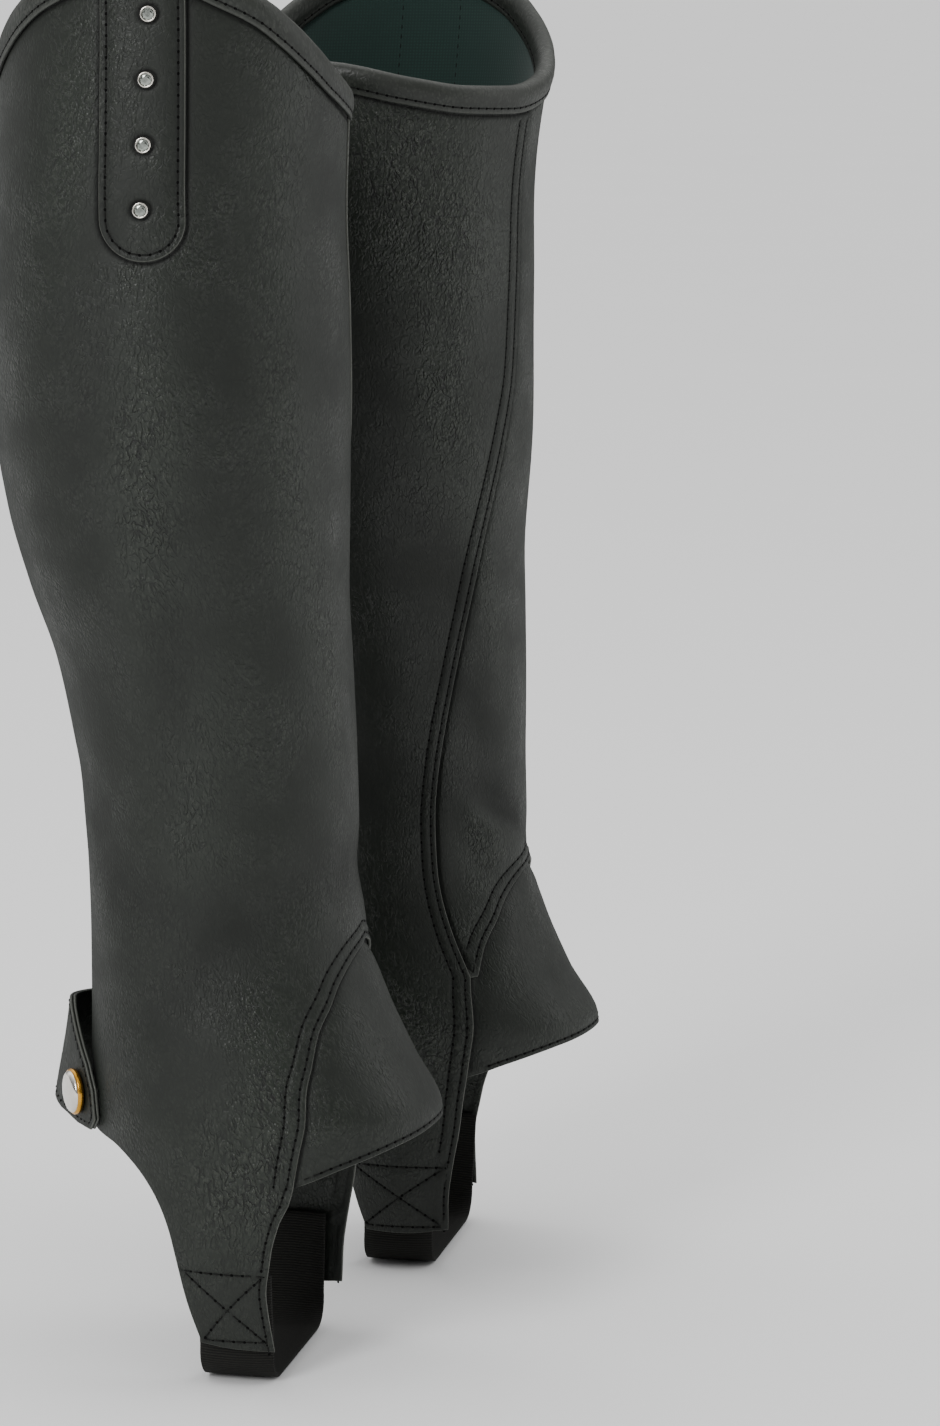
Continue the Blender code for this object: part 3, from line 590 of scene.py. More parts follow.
        # Painted shade in the pebble's hollows and painted highlight on its tops.
        for low, high, cover, code in ((0.45, 0.1, 0.9, self.hollow),
                                       (0.55, 0.95, 1.0, self.pebble_highlight)):
            level = add_node(tree, "ShaderNodeMapRange", {"Value": height, "From Min": low,
                             "From Max": high, "To Max": cover}, clamp=True)
            layers.append((add_node(tree, "ShaderNodeMath", {0: level, 1: drawn},
                                    operation="MULTIPLY"), code))
        # Edges and the binding's fold lighten toward the edge colour: partly wear, partly painted
        # highlight.
        rubbed_and_lit = add_node(tree, "ShaderNodeMath", {0: worn, 1: breakup, 2: 0.35},
                          operation="MULTIPLY_ADD")
        rubbed_and_lit = add_node(tree, "ShaderNodeMath", {0: rubbed_and_lit, 1: worn}, operation="MULTIPLY")
        # Painted shade: dark and dull along seams, stitches, fold troughs and round crystal cups.
        layers += [(rubbed_and_lit, self.edge), (painted_shade, self.hollow)]
        colour = linear(self.face)
        for part, code in layers:
            colour = add_node(tree, "ShaderNodeMix", {0: part, 6: colour, 7: linear(code)},
                              data_type="RGBA").outputs[2]
        # The skin's fine pores break up the shine where it is seen edge on.
        slant = add_node(tree, "ShaderNodeLayerWeight", {"Blend": 0.5}).outputs["Facing"]
        slant = add_node(tree, "ShaderNodeMath", {0: slant, 1: 2.5}, operation="POWER")
        gloss = dull
        for part, weight in ((rise, -0.22), (painted_shade, 0.4), (slant, self.grazing)):
            gloss = add_node(tree, "ShaderNodeMath", {0: part, 1: weight, 2: gloss},
                             operation="MULTIPLY_ADD")
        return {"Base Color": colour, "Roughness": gloss, "Normal": relief,
                "Specular IOR Level": self.specular}


@dataclass(frozen=True)
class Knit:
    """Warp-knitted polyester lining: matt, with a fine mesh of loops."""

    name: str = "knitted_polyester_teal"
    face: str = "1b3d36"
    hollow: str = "122a25"
    loop_mm: float = 1.1
    relief_mm: float = 0.14
    roughness: float = 0.9
    sheen: float = 0.25

    def shade(self, tree: NodeTree) -> Inputs:
        """Builds the look on the piece's UV map, in metres.

        Args:
            tree: The material's tree.

        Returns:
            The shader's inputs.
        """
        uv = add_node(tree, "ShaderNodeTexCoord").outputs["UV"]
        wales, courses = (
            add_node(tree, "ShaderNodeTexWave", {"Vector": uv, "Distortion": 0.6,
                     "Scale": bands_per(self.loop_mm)}, bands_direction=way).outputs["Fac"]
            for way in ("X", "Y"))
        mesh = add_node(tree, "ShaderNodeMath", {0: wales, 1: courses}, operation="MULTIPLY")
        soft = add_node(tree, "ShaderNodeTexNoise", {"Vector": uv, "Scale": 40.0, "Detail": 2.0})
        part = add_node(tree, "ShaderNodeMath", {0: mesh, 1: soft.outputs["Fac"]},
                        operation="MULTIPLY")
        colour = add_node(tree, "ShaderNodeMix", {"Factor": part, 6: linear(self.hollow),
                          7: linear(self.face)}, data_type="RGBA").outputs[2]
        relief = add_node(tree, "ShaderNodeBump", {"Height": mesh, "Strength": 0.35,
                          "Distance": self.relief_mm * MM})
        return {"Base Color": colour, "Normal": relief, "Roughness": self.roughness,
                "Sheen Weight": self.sheen}


@dataclass(frozen=True)
class Webbing:
    """Woven polyester with close ribs: elastic webbing or zip tape."""

    name: str
    face: str
    hollow: str
    rib_mm: float
    relief_mm: float = 0.18
    roughness: float = 0.85
    specular: float = 0.2

    def shade(self, tree: NodeTree) -> Inputs:
        """Builds the look on the piece's UV map, in metres; the ribs run across it.

        Args:
            tree: The material's tree.

        Returns:
            The shader's inputs.
        """
        uv = add_node(tree, "ShaderNodeTexCoord").outputs["UV"]
        ribs = add_node(tree, "ShaderNodeTexWave", {"Vector": uv, "Distortion": 0.4,
                        "Scale": bands_per(self.rib_mm)}, bands_direction="Y").outputs["Fac"]
        fibre = add_node(tree, "ShaderNodeTexNoise", {"Vector": uv, "Scale": 1500.0})
        part = add_node(tree, "ShaderNodeMath", {0: ribs, 1: fibre.outputs["Fac"]},
                        operation="MULTIPLY")
        colour = add_node(tree, "ShaderNodeMix", {"Factor": part, 6: linear(self.hollow),
                          7: linear(self.face)}, data_type="RGBA").outputs[2]
        relief = add_node(tree, "ShaderNodeBump", {"Height": ribs, "Strength": 0.7,
                          "Distance": self.relief_mm * MM})
        return {"Base Color": colour, "Normal": relief, "Roughness": self.roughness,
                "Specular IOR Level": self.specular}


@dataclass(frozen=True)
class Thread:
    """Bonded polyester thread, twisted, with painted shade as dark spots in the needle's holes."""

    name: str = "bonded_thread_black"
    face: str = "111210"
    # Painted shade in the needle's holes.
    hole: str = "020202"
    roughness: float = 0.6
    twist_mm: float = 0.35
    relief_mm: float = 0.05
    specular: float = 0.16

    def shade(self, tree: NodeTree) -> Inputs:
        """Builds the look on object coordinates and the hole attribute.

        Args:
            tree: The material's tree.

        Returns:
            The shader's inputs.
        """
        place = add_node(tree, "ShaderNodeTexCoord").outputs["Object"]
        hole = add_node(tree, "ShaderNodeAttribute", attribute_name="hole").outputs["Fac"]
        twist = add_node(tree, "ShaderNodeTexWave", {"Vector": place, "Distortion": 1.0,
                         "Scale": bands_per(self.twist_mm)}, bands_direction="DIAGONAL")
        # The holes' near black is painted shade.
        colour = add_node(tree, "ShaderNodeMix", {0: hole, 6: linear(self.face),
                          7: linear(self.hole)}, data_type="RGBA").outputs[2]
        gloss = add_node(tree, "ShaderNodeMapRange", {"Value": hole, "To Min": self.roughness,
                         "To Max": 1.0})
        relief = add_node(tree, "ShaderNodeBump", {"Height": twist.outputs["Fac"],
                          "Strength": 0.4, "Distance": self.relief_mm * MM})
        return {"Base Color": colour, "Roughness": gloss, "Normal": relief,
                "Specular IOR Level": self.specular}


@dataclass(frozen=True)
class Solid:
    """A hard finish with a little unevenness: metal, paint, stone or moulded plastic."""

    name: str
    face: str
    worn: str
    roughness: float
    metallic: float = 0.0
    uneven_mm: float = 2.0
    specular: float = 0.5

    def shade(self, tree: NodeTree) -> Inputs:
        """Builds the look on object coordinates.

        Args:
            tree: The material's tree.

        Returns:
            The shader's inputs.
        """
        place = add_node(tree, "ShaderNodeTexCoord").outputs["Object"]
        noise = add_node(tree, "ShaderNodeTexNoise", {"Vector": place, "Detail": 3.0,
                         "Scale": 1000 / self.uneven_mm}).outputs["Fac"]
        colour = add_node(tree, "ShaderNodeMix", {"Factor": noise, 6: linear(self.face),
                          7: linear(self.worn)}, data_type="RGBA").outputs[2]
        gloss = add_node(tree, "ShaderNodeMapRange", {"Value": noise,
                         "To Min": self.roughness * 0.85, "To Max": self.roughness * 1.2})
        return {"Base Color": colour, "Roughness": gloss, "Metallic": self.metallic,
                "Specular IOR Level": self.specular}


@dataclass(frozen=True)
class Paper:
    """White seamless paper, which reads as a plain pale ground."""

    name: str = "seamless_paper"
    low: str = "f6f6f6"
    high: str = "f9f9f9"
    roughness: float = 0.95

    def shade(self, tree: NodeTree) -> Inputs:
        """Builds the look on object coordinates.

        Args:
            tree: The material's tree.

        Returns:
            The shader's inputs.
        """
        place = add_node(tree, "ShaderNodeTexCoord").outputs["Object"]
        noise = add_node(tree, "ShaderNodeTexNoise", {"Vector": place, "Scale": 3.0})
        colour = add_node(tree, "ShaderNodeMix", {"Factor": noise.outputs["Fac"],
                          6: linear(self.low), 7: linear(self.high)}, data_type="RGBA")
        return {"Base Color": colour.outputs[2], "Roughness": self.roughness}


class Finish(Enum):
    """The finishes of the pair and of the floor."""

    LEATHER = Leather()
    # The binding's lighter pebble tops are painted highlight.
    BINDING = Leather(name="synthetic_leather_folded", face="1b1d1b", pebble_highlight="40423d",
                      roughness=0.46, relief_mm=0.2)
    LINING = Knit()
    ELASTIC = Webbing("ribbed_elastic_webbing", "2e2e2a", "0e0e0d", 0.9)
    TAPE = Webbing("woven_zip_tape", "1e1e1e", "0a0a0a", 0.7)
    THREAD = Thread()
    # Moulded polyacetal teeth: even, with a dull gloss.
    TEETH = Solid("polyacetal_teeth", "1b1b1b", "262626", 0.5, specular=0.4)
    # Nickel-plated brass: bright, with faint clouding.
    NICKEL = Solid("nickel_plate", "e6e2da", "cfcbc2", 0.16, 1.0)
    # The snap's bare brass base.
    BRASS = Solid("polished_brass", "d9a441", "b07c2a", 0.24, 1.0)
    # Foil-backed cut glass: each facet mirrors its surroundings.
    STONE = Solid("foil_backed_glass", "b9beb8", "5b605a", 0.05, 1.0, 1.1)
    # Black-painted zinc: satin, worn a little grey.
    PAINTED = Solid("painted_zinc_black", "1c1c1c", "2c2c2c", 0.38, 0.2)
    PAPER = Paper()


@cache
def material_of(finish: Finish) -> Material:
    """Makes a finish's material, once.

    Args:
        finish: The finish.

    Returns:
        The material.
    """
    material = bpy.data.materials.new(finish.value.name)
    material.use_nodes = True
    tree = material.node_tree
    fill(tree, tree.nodes["Principled BSDF"], finish.value.shade(tree))
    return material


# ---- meshes ----
def add_object(name: str, data: ID) -> Object:
    """Makes an object of some data and links it to the scene.

    Args:
        name: Its name.
        data: Its mesh, lamp or camera.

    Returns:
        The object, at the origin.
    """
    obj = bpy.data.objects.new(name, data)
    bpy.context.scene.collection.objects.link(obj)
    return obj


def mesh_object(name: str, points: Array, faces: Sequence[Sequence[int]], finish: Finish,
                uv: Array | None = None, flip: bool = False) -> Object:
    """Makes a smooth object of one finish.

    Args:
        name: Its name.
        points: Its points, in metres.
        faces: Its faces, as numbers of points.
        finish: Its finish.
        uv: A place on the pattern for each point, in metres.
        flip: Whether to turn every face round.

    Returns:
        The object, at the origin.
    """
    mesh = bpy.data.meshes.new(name)
    mesh.from_pydata([tuple(p) for p in points], [],
                     [tuple(face[::-1] if flip else face) for face in faces])
    if uv is not None:
        layer = mesh.uv_layers.new(name="pattern")
        corners = np.empty(len(mesh.loops), np.int32)
        mesh.loops.foreach_get("vertex_index", corners)
        layer.data.foreach_set("uv", uv[corners].astype(np.float32).ravel())
    mesh.shade_smooth()
    mesh.materials.append(material_of(finish))
    return add_object(name, mesh)


def give(obj: Object, name: str, values: Array) -> None:
    """Stores a number at each point of a piece, for its finish to read."""
    obj.data.attributes.new(name, "FLOAT", "POINT").data.foreach_set(
        "value", np.asarray(values, np.float32))


def swept(name: str, rings: Array, finish: Finish, uv: Array | None = None,
          flip: bool = False) -> Object:
    """Makes a closed solid through rings of points.

    Args:
        name: Its name.
        rings: Rings of points, in metres, as rings x points x 3.
        finish: Its finish.
        uv: A place on the pattern for each point.
        flip: Whether to turn every face round.

    Returns:
        The object.
    """
    count, size = rings.shape[:2]
    faces = []
    for r in range(count - 1):
        for i in range(size):
            a, b = r * size + i, r * size + (i + 1) % size
            faces.append((a, b, b + size, a + size))
    faces.append(tuple(reversed(range(size))))
    faces.append(tuple(range((count - 1) * size, count * size)))
    flat_uv = None if uv is None else uv.reshape(-1, 2)
    return mesh_object(name, rings.reshape(-1, 3), faces, finish, flat_uv, flip)


def is_inside(points: Array, ring: Array, margin: float) -> Array:
    """Tests flat points against a ring.

    Args:
        points: The flat points.
        ring: The ring's flat points, in order.
        margin: How far from the ring's sides they must stay.

    Returns:
        True for each point inside it.
    """
    start, end = ring, np.roll(ring, -1, axis=0)
    x, y = points[:, :1], points[:, 1:]
    crosses = (start[:, 1] > y) != (end[:, 1] > y)
    rise = np.where(end[:, 1] == start[:, 1], 1.0, end[:, 1] - start[:, 1])
    at = start[:, 0] + (end[:, 0] - start[:, 0]) * (y - start[:, 1]) / rise
    inside = (crosses & (x < at)).sum(axis=1) % 2 == 1
    closed = Line(spots_of(np.concatenate([ring, ring[:1]])))
    return inside & (np.abs(closed.signed(spots_of(points))) > margin)


def offset_ring(ring: Array, shift: float) -> Array:
    """Moves a ring of flat points outwards.

    Args:
        ring: The points, anticlockwise.
        shift: Millimetres to move them.

    Returns:
        The moved points; at a sharp corner they move less than a full mitre.
    """
    before = -left_of(ring - np.roll(ring, 1, axis=0))
    normal = before - left_of(np.roll(ring, -1, axis=0) - ring)
    size = np.maximum((normal * before).sum(axis=1), MITRE_LIMIT)
    return ring + normal / size[:, None] * shift


@dataclass
class Shell:
    """A thin wall over an outline on the leg form, with rounded edges."""

    name: str
    leg: Leg
    outline: Line
    thickness: float
    face: Depth
    finish: Finish = Finish.LEATHER
    rows: tuple[Line, ...] = ()
    spacing: float = 3.2
    rounding: float = 0.4
    grain: float = 1.0
    # Gives the painted shade along seams, pressed edges and stitches.
    seams: Depth | None = None
    row_offsets: tuple[float, ...] = (-1.6, -0.75, 0.0, 0.75, 1.6)
    row_margin: float = 0.45
    # How much each ring of the rounded edge lightens: edge wear, partly painted highlight.
    edge_rubbing_and_light: tuple[float, ...] = (1.0, 0.8, 0.3)
    fold_depth: float = 2.4  # the depth of a fold that counts as fully bent
    # How much fold swells lighten and raise the grain (partly painted highlight) and troughs
    # darken it (painted shade).
    ridge_light_and_grain: float = 0.5
    fold_shade: float = 0.45
    darkest_fold: float = 0.4

    def lattice(self, ring: Array) -> list[Vector]:
        """Spreads points inside the ring, closer along the stitched rows.

        Args:
            ring: The ring's flat points.

        Returns:
            The ring's points and those inside it.
        """
        low, high = ring.min(axis=0), ring.max(axis=0)
        rises = np.arange(low[1], high[1], self.spacing * math.sqrt(3) / 2)
        grid = np.concatenate([
            pairs(np.arange(low[0] + self.spacing / 2 * (k % 2), high[0], self.spacing), up)
            for k, up in enumerate(rises)])
        close = [grid[is_inside(grid, ring, self.spacing * 0.5)]]
        clear = max(self.row_offsets) + self.spacing * 0.4
        for row in self.rows:
            close = [kept[np.abs(row.signed(spots_of(kept))) > clear] if len(kept) else kept
                     for kept in close]
            fine = np.concatenate([flat_of(row.beside(shift).spots) for shift in self.row_offsets])
            close.append(fine[is_inside(fine, ring, self.row_margin)])
        return [Vector(p) for p in np.concatenate([ring, *close])]

    def edge_ring(self) -> Array:
        """Finds the border of the wall's flat part, where the rounding of its edge starts.

        Returns:
            The ring's flat points, anticlockwise.
        """
        ring = flat_of(self.outline.spots)
        ring = ring if np.linalg.norm(ring[0] - ring[-1]) > 0.5 else ring[:-1]
        area = (ring[:, 0] * np.roll(ring[:, 1], -1) - np.roll(ring[:, 0], -1) * ring[:, 1]).sum()
        return offset_ring(ring if area > 0 else ring[::-1], -self.rounding)

    @staticmethod
    def borders(triangles: Array) -> list[list[int]]:
        """Follows the free sides of a flat mesh.

        Args:
            triangles: Its triangles, as numbers of points.

        Returns:
            The points of each border, in order.
        """
        sides = {(i, j) for t in triangles.tolist() for i, j in zip(t, t[1:] + t[:1])}
        left = {i: j for i, j in sides if (j, i) not in sides}
        loops = []
        while left:
            loop = [next(iter(left))]
            while left.get(loop[-1]) is not None:
                loop.append(left.pop(loop[-1]))
            loops.append(loop[:-1])
        return loops

    def make(self) -> Object:
        """Builds the wall: its outer face, its inner face and the rounded edge between.

        Returns:
            The object, with attributes for its grain, its lighter edges and its painted shade;
            fold swells and edges also add painted highlight.
        """
        ring = self.edge_ring()
        edges = [(i, (i + 1) % len(ring)) for i in range(len(ring))]
        flat, _, triangles, *_ = delaunay_2d_cdt(self.lattice(ring), edges, [], 1, 1e-4)
        flat, triangles = (np.array([tuple(row) for row in rows]) for rows in (flat, triangles))
        a, b, c = (flat[triangles[:, k]] for k in range(3))
        turned = np.cross(b - a, c - a) < 0
        triangles[turned] = triangles[turned][:, ::-1]
        count = len(flat)
        spots = spots_of(flat)
        lift = self.face(spots)
        points = [self.leg.place(spots, lift), self.leg.place(spots, lift - self.thickness)]
        pattern, total, worn = [flat, flat], 2 * count, [np.zeros(2 * count)]
        faces = triangles.tolist() + (triangles[:, ::-1] + count).tolist()
        for loop in self.borders(triangles):
            border = flat[loop]
            levels = [np.array(loop)]
            for k, wear_and_highlight in enumerate(self.edge_rubbing_and_light, start=1):
                angle = math.pi / 2 - math.pi / 4 * k
                moved = offset_ring(border, self.rounding * math.cos(angle))
                depth = self.thickness / 2 * (1 - math.sin(angle))
                points.append(self.leg.place(spots_of(moved), self.face(spots_of(border)) - depth))
                pattern.append(moved)
                worn.append(np.full(len(loop), wear_and_highlight))
                levels.append(np.arange(total, total + len(loop)))
                total += len(loop)
            levels.append(np.array(loop) + count)
            for upper, lower in zip(levels, levels[1:]):
                faces += zip(np.roll(upper, -1), upper, lower, np.roll(lower, -1))
        places = np.concatenate(pattern)
        obj = mesh_object(self.name, np.concatenate(points), faces, self.finish, places * MM,
                          flip=self.leg.outward > 0)
        where = spots_of(places)
        bends = folds_at(self.leg.folds, where) / self.fold_depth
        # Fold swells lighten the leather as painted highlight; fold troughs darken it as painted
        # shade.
        grain_and_ridge_light = self.grain * folds_at(self.leg.grain, where) + self.ridge_light_and_grain * bends
        painted_shade = np.zeros(len(where)) if self.seams is None else self.seams(where)
        shaded = np.clip(-self.fold_shade * bends, 0, self.darkest_fold)
        give(obj, "grain_and_ridge_light", np.clip(grain_and_ridge_light, 0, 1))
        # Rounded edges lighter: edge wear, partly painted highlight.
        give(obj, "worn", np.concatenate(worn))
        give(obj, "painted_shade", np.clip(painted_shade, 0, 1) + shaded)
        return obj


def dress(obj: Object, slot: str, *nodes: str) -> None:
    """Rides a finished piece on the pair's body and hides the parts that it replaces.

    Args:
        obj: The piece.
        slot: Not used.
        nodes: The nodes that it replaces.
    """
    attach(obj, BODY)
    if nodes:
        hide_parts(*nodes)
    LOG.info("%s: %d faces", obj.name, len(obj.data.polygons))


def declare_sheet(leg: Leg, outline: Line) -> None:
    """Measures the widest run of a piece of cloth across the leg; the result is not kept.

    Args:
        leg: The leg that it is worn on.
        outline: Its outline.
    """
    low, high = outline.spots.min(axis=0), outline.spots.max(axis=0)
    turns = np.linspace(low[0], high[0], CUT_SAMPLES)
    widest = round(max(float(reach_of(leg.place(pairs(turns, height)))[-1])
                       for height in np.linspace(low[1], high[1], CUT_ROWS)), 4)


# ---- stitches and teeth: trees that repeat a small shape along paths ----
def add_sockets(tree: NodeTree, sizes: dict[str, float]) -> Node:
    """Adds a tree's geometry sockets and its named sizes.

    Args:
        tree: The tree.
        sizes: Each size's name and default, in metres.

    Returns:
        The tree's input node.
    """
    tree.interface.new_socket("Geometry", in_out="INPUT", socket_type="NodeSocketGeometry")
    for name, value in sizes.items():
        made = tree.interface.new_socket(name, in_out="INPUT", socket_type="NodeSocketFloat")
        made.default_value = value
    tree.interface.new_socket("Geometry", in_out="OUTPUT", socket_type="NodeSocketGeometry")
    return tree.nodes.new("NodeGroupInput")


def repeat_tree(name: str, sizes: dict[str, float], finish: Finish, alternate: bool) -> NodeTree:
    """Builds the tree that sets small shapes along paths, square to the leather.

    Args:
        name: The tree's name.
        sizes: Pitch, Length, Width and Height of the shape, and its Shift to each side.
        finish: The shape's finish.
        alternate: Whether the shapes are teeth, every other one turned half round, or
        stitches, each with a dark spot beside it as painted shade in the needle's hole.

    Returns:
        The tree.
    """
    tree = bpy.data.node_groups.new(name, "GeometryNodeTree")
    given = add_sockets(tree, sizes).outputs
    path = add_node(tree, "GeometryNodeMeshToCurve", {"Mesh": given["Geometry"]})
    spaced = add_node(tree, "GeometryNodeResampleCurve", {"Curve": path, "Length": given["Pitch"]},
                      mode="LENGTH")
    along = add_node(tree, "GeometryNodeInputTangent")
    out = add_node(tree, "GeometryNodeInputNamedAttribute", {"Name": "face_out"},
                   data_type="FLOAT_VECTOR")
    turn = add_node(tree, "FunctionNodeAlignRotationToVector", {"Vector": out}, axis="Z")
    turn = add_node(tree, "FunctionNodeAlignRotationToVector", {"Rotation": turn, "Vector": along},
                    axis="X", pivot_axis="Z")
    size = add_node(tree, "ShaderNodeCombineXYZ", {"X": given["Length"], "Y": given["Width"],
                                                   "Z": given["Height"]})
    shift = add_node(tree, "ShaderNodeCombineXYZ", {"Y": given["Shift"]})
    if alternate:
        index = add_node(tree, "GeometryNodeInputIndex")
        odd = add_node(tree, "ShaderNodeMath", {0: index, 1: 2.0}, operation="MODULO")
        half = add_node(tree, "ShaderNodeMath", {0: odd, 1: math.pi}, operation="MULTIPLY")
        spin = add_node(tree, "ShaderNodeCombineXYZ", {"Z": half})
        euler = add_node(tree, "FunctionNodeEulerToRotation", {0: spin})
        turn = add_node(tree, "FunctionNodeRotateRotation", {"Rotation": turn, "Rotate By": euler},
                        rotation_space="LOCAL")
        shape = add_node(tree, "GeometryNodeMeshCube", {"Size": (1.0, 1.0, 1.0)})
    else:
        shape, spot = (
            add_node(tree, "GeometryNodeMeshUVSphere",
                     {"Segments": 8, "Rings": rings, "Radius": 0.5}) for rings in (6, 4))
        half = add_node(tree, "ShaderNodeMath", {0: given["Pitch"], 1: 0.5}, operation="MULTIPLY")
        beside = add_node(tree, "ShaderNodeCombineXYZ", {"X": half})
        spot = add_node(tree, "GeometryNodeTransform", {"Geometry": spot, "Translation": beside,
                        "Scale": (1.2 * MM, 1.0 * MM, 0.3 * MM)})
        # A flat dark spot half a pitch on: painted shade in the needle's hole.
        hole = add_node(tree, "GeometryNodeStoreNamedAttribute",
                        {"Geometry": spot, "Name": "hole", "Value": 1.0},
                        data_type="FLOAT", domain="POINT")
    sized = add_node(tree, "GeometryNodeTransform",
                     {"Geometry": shape, "Scale": size, "Translation": shift})
    if not alternate:
        sized = add_node(tree, "GeometryNodeJoinGeometry", {"Geometry": sized})
        fill(tree, sized, {"Geometry": hole})
    copies = add_node(tree, "GeometryNodeInstanceOnPoints",
                      {"Points": spaced, "Instance": sized, "Rotation": turn})
    real = add_node(tree, "GeometryNodeRealizeInstances", {"Geometry": copies})
    smooth = add_node(tree, "GeometryNodeSetShadeSmooth",
                      {"Geometry": real, "Shade Smooth": not alternate})
    done = add_node(tree, "GeometryNodeSetMaterial",
                    {"Geometry": smooth, "Material": material_of(finish)})
    add_node(tree, "NodeGroupOutput", {"Geometry": done})
    return tree


@dataclass
class Row:
    """A row of stitches or teeth: its points and the way out at each, in metres."""

    points: Array
    outs: Array


def row_on(leg: Leg, line: Line, face: Depth | float, proud: float = 0.05) -> Row:
    """Lays a row on a face of the leg form.

    Args:
        leg: The leg.
        line: The row's line.
        face: The face's depth, or a number.
        proud: Millimetres that the row stands out from it.

    Returns:
        The row.
    """
    reach = reach_of(flat_of(line.spots))
    at = np.linspace(ROW_SHORT, reach[-1] - ROW_SHORT, max(2, round(reach[-1] / ROW_SPACING)))
    spots = pairs(*(np.interp(at, reach, line.spots[:, k]) for k in (0, 1)))
    out = face(spots) if callable(face) else np.full(len(spots), float(face))
    return Row(leg.place(spots, out + proud), leg.normals(spots))


def repeated(name: str, rows: Sequence[Row], tree: NodeTree, sizes: dict[str, float]) -> Object:
    """Sets a tree's shapes along rows, as one plain mesh.

    Args:
        name: The piece's name.
        rows: The rows.
        tree: The tree.
        sizes: The tree's sizes, in metres.

    Returns:
        The object.
    """
    paths = bpy.data.meshes.new(f"{name}_paths")
    edges, start = [], 0
    for row in rows:
        edges += [(start + i, start + i + 1) for i in range(len(row.points) - 1)]
        start += len(row.points)
    paths.from_pydata([tuple(p) for row in rows for p in row.points], edges, [])
    outs = np.concatenate([row.outs for row in rows]).astype(np.float32)
    ways = paths.attributes.new("face_out", "FLOAT_VECTOR", "POINT")
    ways.data.foreach_set("vector", outs.ravel())
    holder = add_object(f"{name}_holder", paths)
    modifier = holder.modifiers.new("repeat", "NODES")
    modifier.node_group = tree
    for item in tree.interface.items_tree:
        if item.in_out == "INPUT" and item.name in sizes:
            modifier[item.identifier] = sizes[item.name]
    graph = bpy.context.evaluated_depsgraph_get()
    mesh = bpy.data.meshes.new_from_object(holder.evaluated_get(graph))
    mesh.name = name
    # The path itself brings an empty slot, which would leave bevelled faces without a finish.
    finish = next(material for material in mesh.materials if material)
    mesh.materials.clear()
    mesh.materials.append(finish)
    mesh.polygons.foreach_set("material_index", np.zeros(len(mesh.polygons), np.int32))
    bpy.data.objects.remove(holder, do_unlink=True)
    return add_object(name, mesh)


@dataclass(frozen=True)
class Stitching:
    """Lockstitch in heavy thread."""

    pitch_mm: float = 3.3
    length_mm: float = 2.5
    width_mm: float = 0.62
    height_mm: float = 0.5

    def sizes(self) -> dict[str, float]:
        """The tree's sizes, in metres."""
        return {"Pitch": self.pitch_mm * MM, "Length": self.length_mm * MM,
                "Width": self.width_mm * MM, "Height": self.height_mm * MM, "Shift": 0.0}


